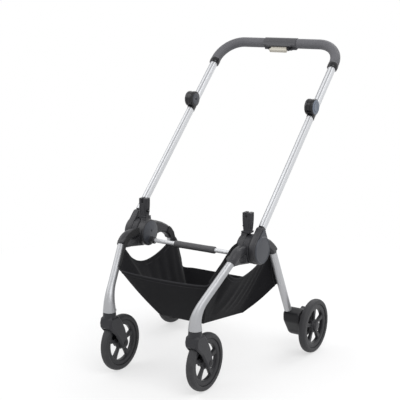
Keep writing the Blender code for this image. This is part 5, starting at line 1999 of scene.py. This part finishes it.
    def strap(self, side: Side, end: str, line: Sequence[Triple], body: str) -> bpy.types.Object:
        """Webbing from a corner of the basket up the inner side of a leg.

        Args:
            side: The side.
            end: Front or rear, for its name.
            line: Points of its middle.
            body: The frame that it is sewn round.

        Returns:
            The dressed strap.
        """
        path = [PLAN.place(*point) for point in through(line, steps=6)]
        item = swept("basket_" + side.label + "_" + end + "_strap", path,
                     oval(*self.strap_half, 24, 5.0), twist="Z_UP")
        return hand_over(mirrored(item, side), STRAP, body)

    def blend(self, item: bpy.types.Object) -> None:
        """Bake a cloth piece's place into its mesh."""
        PLAN.place(0.0, 0.150, 0.3)
        PLAN.place(0.0, 0.370, 0.3)
        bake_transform(item)

    def build(self) -> None:
        """Make and dress the basket."""
        cloth, tape, seam = self.sheet(), self.binding(), self.seam()
        for item, finish in ((cloth, CLOTH), (tape, BINDING), (seam, BINDING)):
            self.blend(dress(item, finish))
            LOG.info("%s between the legs", item.name)
        for side in Side:
            self.strap(side, "front", self.front_strap, "front_frame")
            self.strap(side, "rear", self.rear_strap, "rear_frame")
        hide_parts("basket")


# Small inner parts that show as they are.


@dataclass
class InnerMetal:
    """Pins, stems and axles of the frame, dressed as they stand."""

    endings: tuple[str, ...] = ("_pin", "_stem", "_axle")

    def build(self) -> None:
        """Dress the nodes."""
        for name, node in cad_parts.items():
            if name.endswith(self.endings):
                dress(node, STEEL)
                LOG.info("%s dressed", name)


# Studio.


@dataclass
class Studio:
    """Pale floor, soft light and the camera of the photograph."""

    azimuth: float = math.radians(33.108)
    elevation: float = math.radians(11.853)
    camera_at: Triple = (1.7003, -2.3885, 1.1831)
    lens: float = 90.0
    sky: float = 0.62
    floor_size: float = 4.0
    floor_drop: float = 0.0004
    shadow_share: float = 0.42
    shadow_reach: float = 1.6
    shadow_fade: float = 1.5

    def camera(self) -> None:
        """Set up the camera."""
        put_down()
        data = bpy.data.cameras.new("camera")
        data.lens = self.lens
        data.clip_start = 0.05
        data.clip_end = 60.0
        camera = bpy.data.objects.new("camera", data)
        bpy.context.scene.collection.objects.link(camera)
        camera.location = PLAN.place(*self.camera_at)
        camera.rotation_euler = (math.pi / 2 - self.elevation, 0.0, self.azimuth)
        bpy.context.scene.camera = camera

    def world(self) -> None:
        """White surroundings, dimmer as a light than as a background."""
        graph = Graph(bpy.data.worlds.new("studio"))
        bpy.context.scene.world = graph.output(
            color=(1.0, 1.0, 1.0, 1.0), strength=graph.seen() * (1.0 - self.sky) + self.sky)

    def lamp(self, name: str, place: Triple, target: Triple, size: float, power: float) -> None:
        """Add a soft lamp.

        Args:
            name: Name of the lamp.
            place: Where it hangs.
            target: What it points at.
            size: Side of its square.
            power: Watts.
        """
        data = bpy.data.lights.new(name, "AREA")
        data.size = size
        data.energy = power
        item = bpy.data.objects.new(name, data)
        bpy.context.scene.collection.objects.link(item)
        item.location = place
        item.rotation_euler = (Vector(target) - Vector(place)).to_track_quat("-Z", "Y").to_euler()

    def floor(self) -> None:
        """Pale floor that keeps the shadows near the chassis and is plain white further off."""
        put_down()
        bpy.ops.mesh.primitive_plane_add(size=self.floor_size,
                                         location=(0.0, 0.0, -self.floor_drop))
        floor = bpy.context.object
        floor.name = "floor"
        graph = Graph(bpy.data.materials.new("pale_floor"))
        spot = graph.node("ShaderNodeSeparateXYZ", {}, {0: graph.place()})
        across, along = Value(graph, spot.outputs[0]), Value(graph, spot.outputs[1])
        away = (across * across + along * along) ** 0.5
        shown = ((self.shadow_reach - away) * self.shadow_fade).clamp() * self.shadow_share
        graph.hold("Specular IOR Level", 0.0)
        graph.output(base_color=(0.97, 0.97, 0.975, 1.0), roughness=0.95)
        dim, white = (graph.node("ShaderNodeEmission", {}, {"Strength": strength}).outputs[0]
                      for strength in (self.sky, 1.0))
        glow = graph.node("ShaderNodeMixShader", {}, {0: graph.seen(), 1: dim, 2: white})
        mixed = graph.node("ShaderNodeMixShader", {}, {0: shown, 1: glow.outputs[0],
                                                       2: graph.shader.outputs[0]})
        surface = graph.tree.nodes["Material Output"].inputs["Surface"]
        graph.feed(surface, mixed.outputs[0])
        floor.data.materials.append(graph.owner)

    def build(self) -> None:
        """Set the scene's view, world, lamps, floor and camera."""
        bpy.context.scene.view_settings.view_transform = "Standard"
        self.camera()
        self.world()
        self.lamp("key", (1.9, -1.5, 3.0), (0.0, 0.0, 0.3), size=2.6, power=52.0)
        self.lamp("fill", (-2.2, -1.2, 2.6), (0.0, 0.0, 0.4), size=2.4, power=26.0)
        self.lamp("back", (0.2, 2.6, 2.8), (0.0, 0.0, 0.4), size=2.2, power=40.0)
        self.floor()


def main() -> None:
    """Build every sub-assembly in order."""
    logging.basicConfig(level=logging.INFO, format="%(message)s")
    Studio().build()
    InnerMetal().build()
    for side in Side:
        Wheel("front_" + side.label, "front_wheel_" + side.label,
              PLAN.place(PLAN.front_x * side.value, 0.0, PLAN.wheel_radius)).build()
        Wheel("rear_" + side.label, "rear_wheel_" + side.label,
              PLAN.place(PLAN.rear_x * side.value, PLAN.rear_y, PLAN.wheel_radius)).build()
        FrontLeg(side).build()
        Hub(side).build()
        Caster(side).build()
        RearSide(side).build()
        Knuckle(side).build()
    Crossbar().build()
    BrakePedal().build()
    Handle().build()
    ReleaseUnit().build()
    Basket().build()


if __name__ == "__main__":
    main()
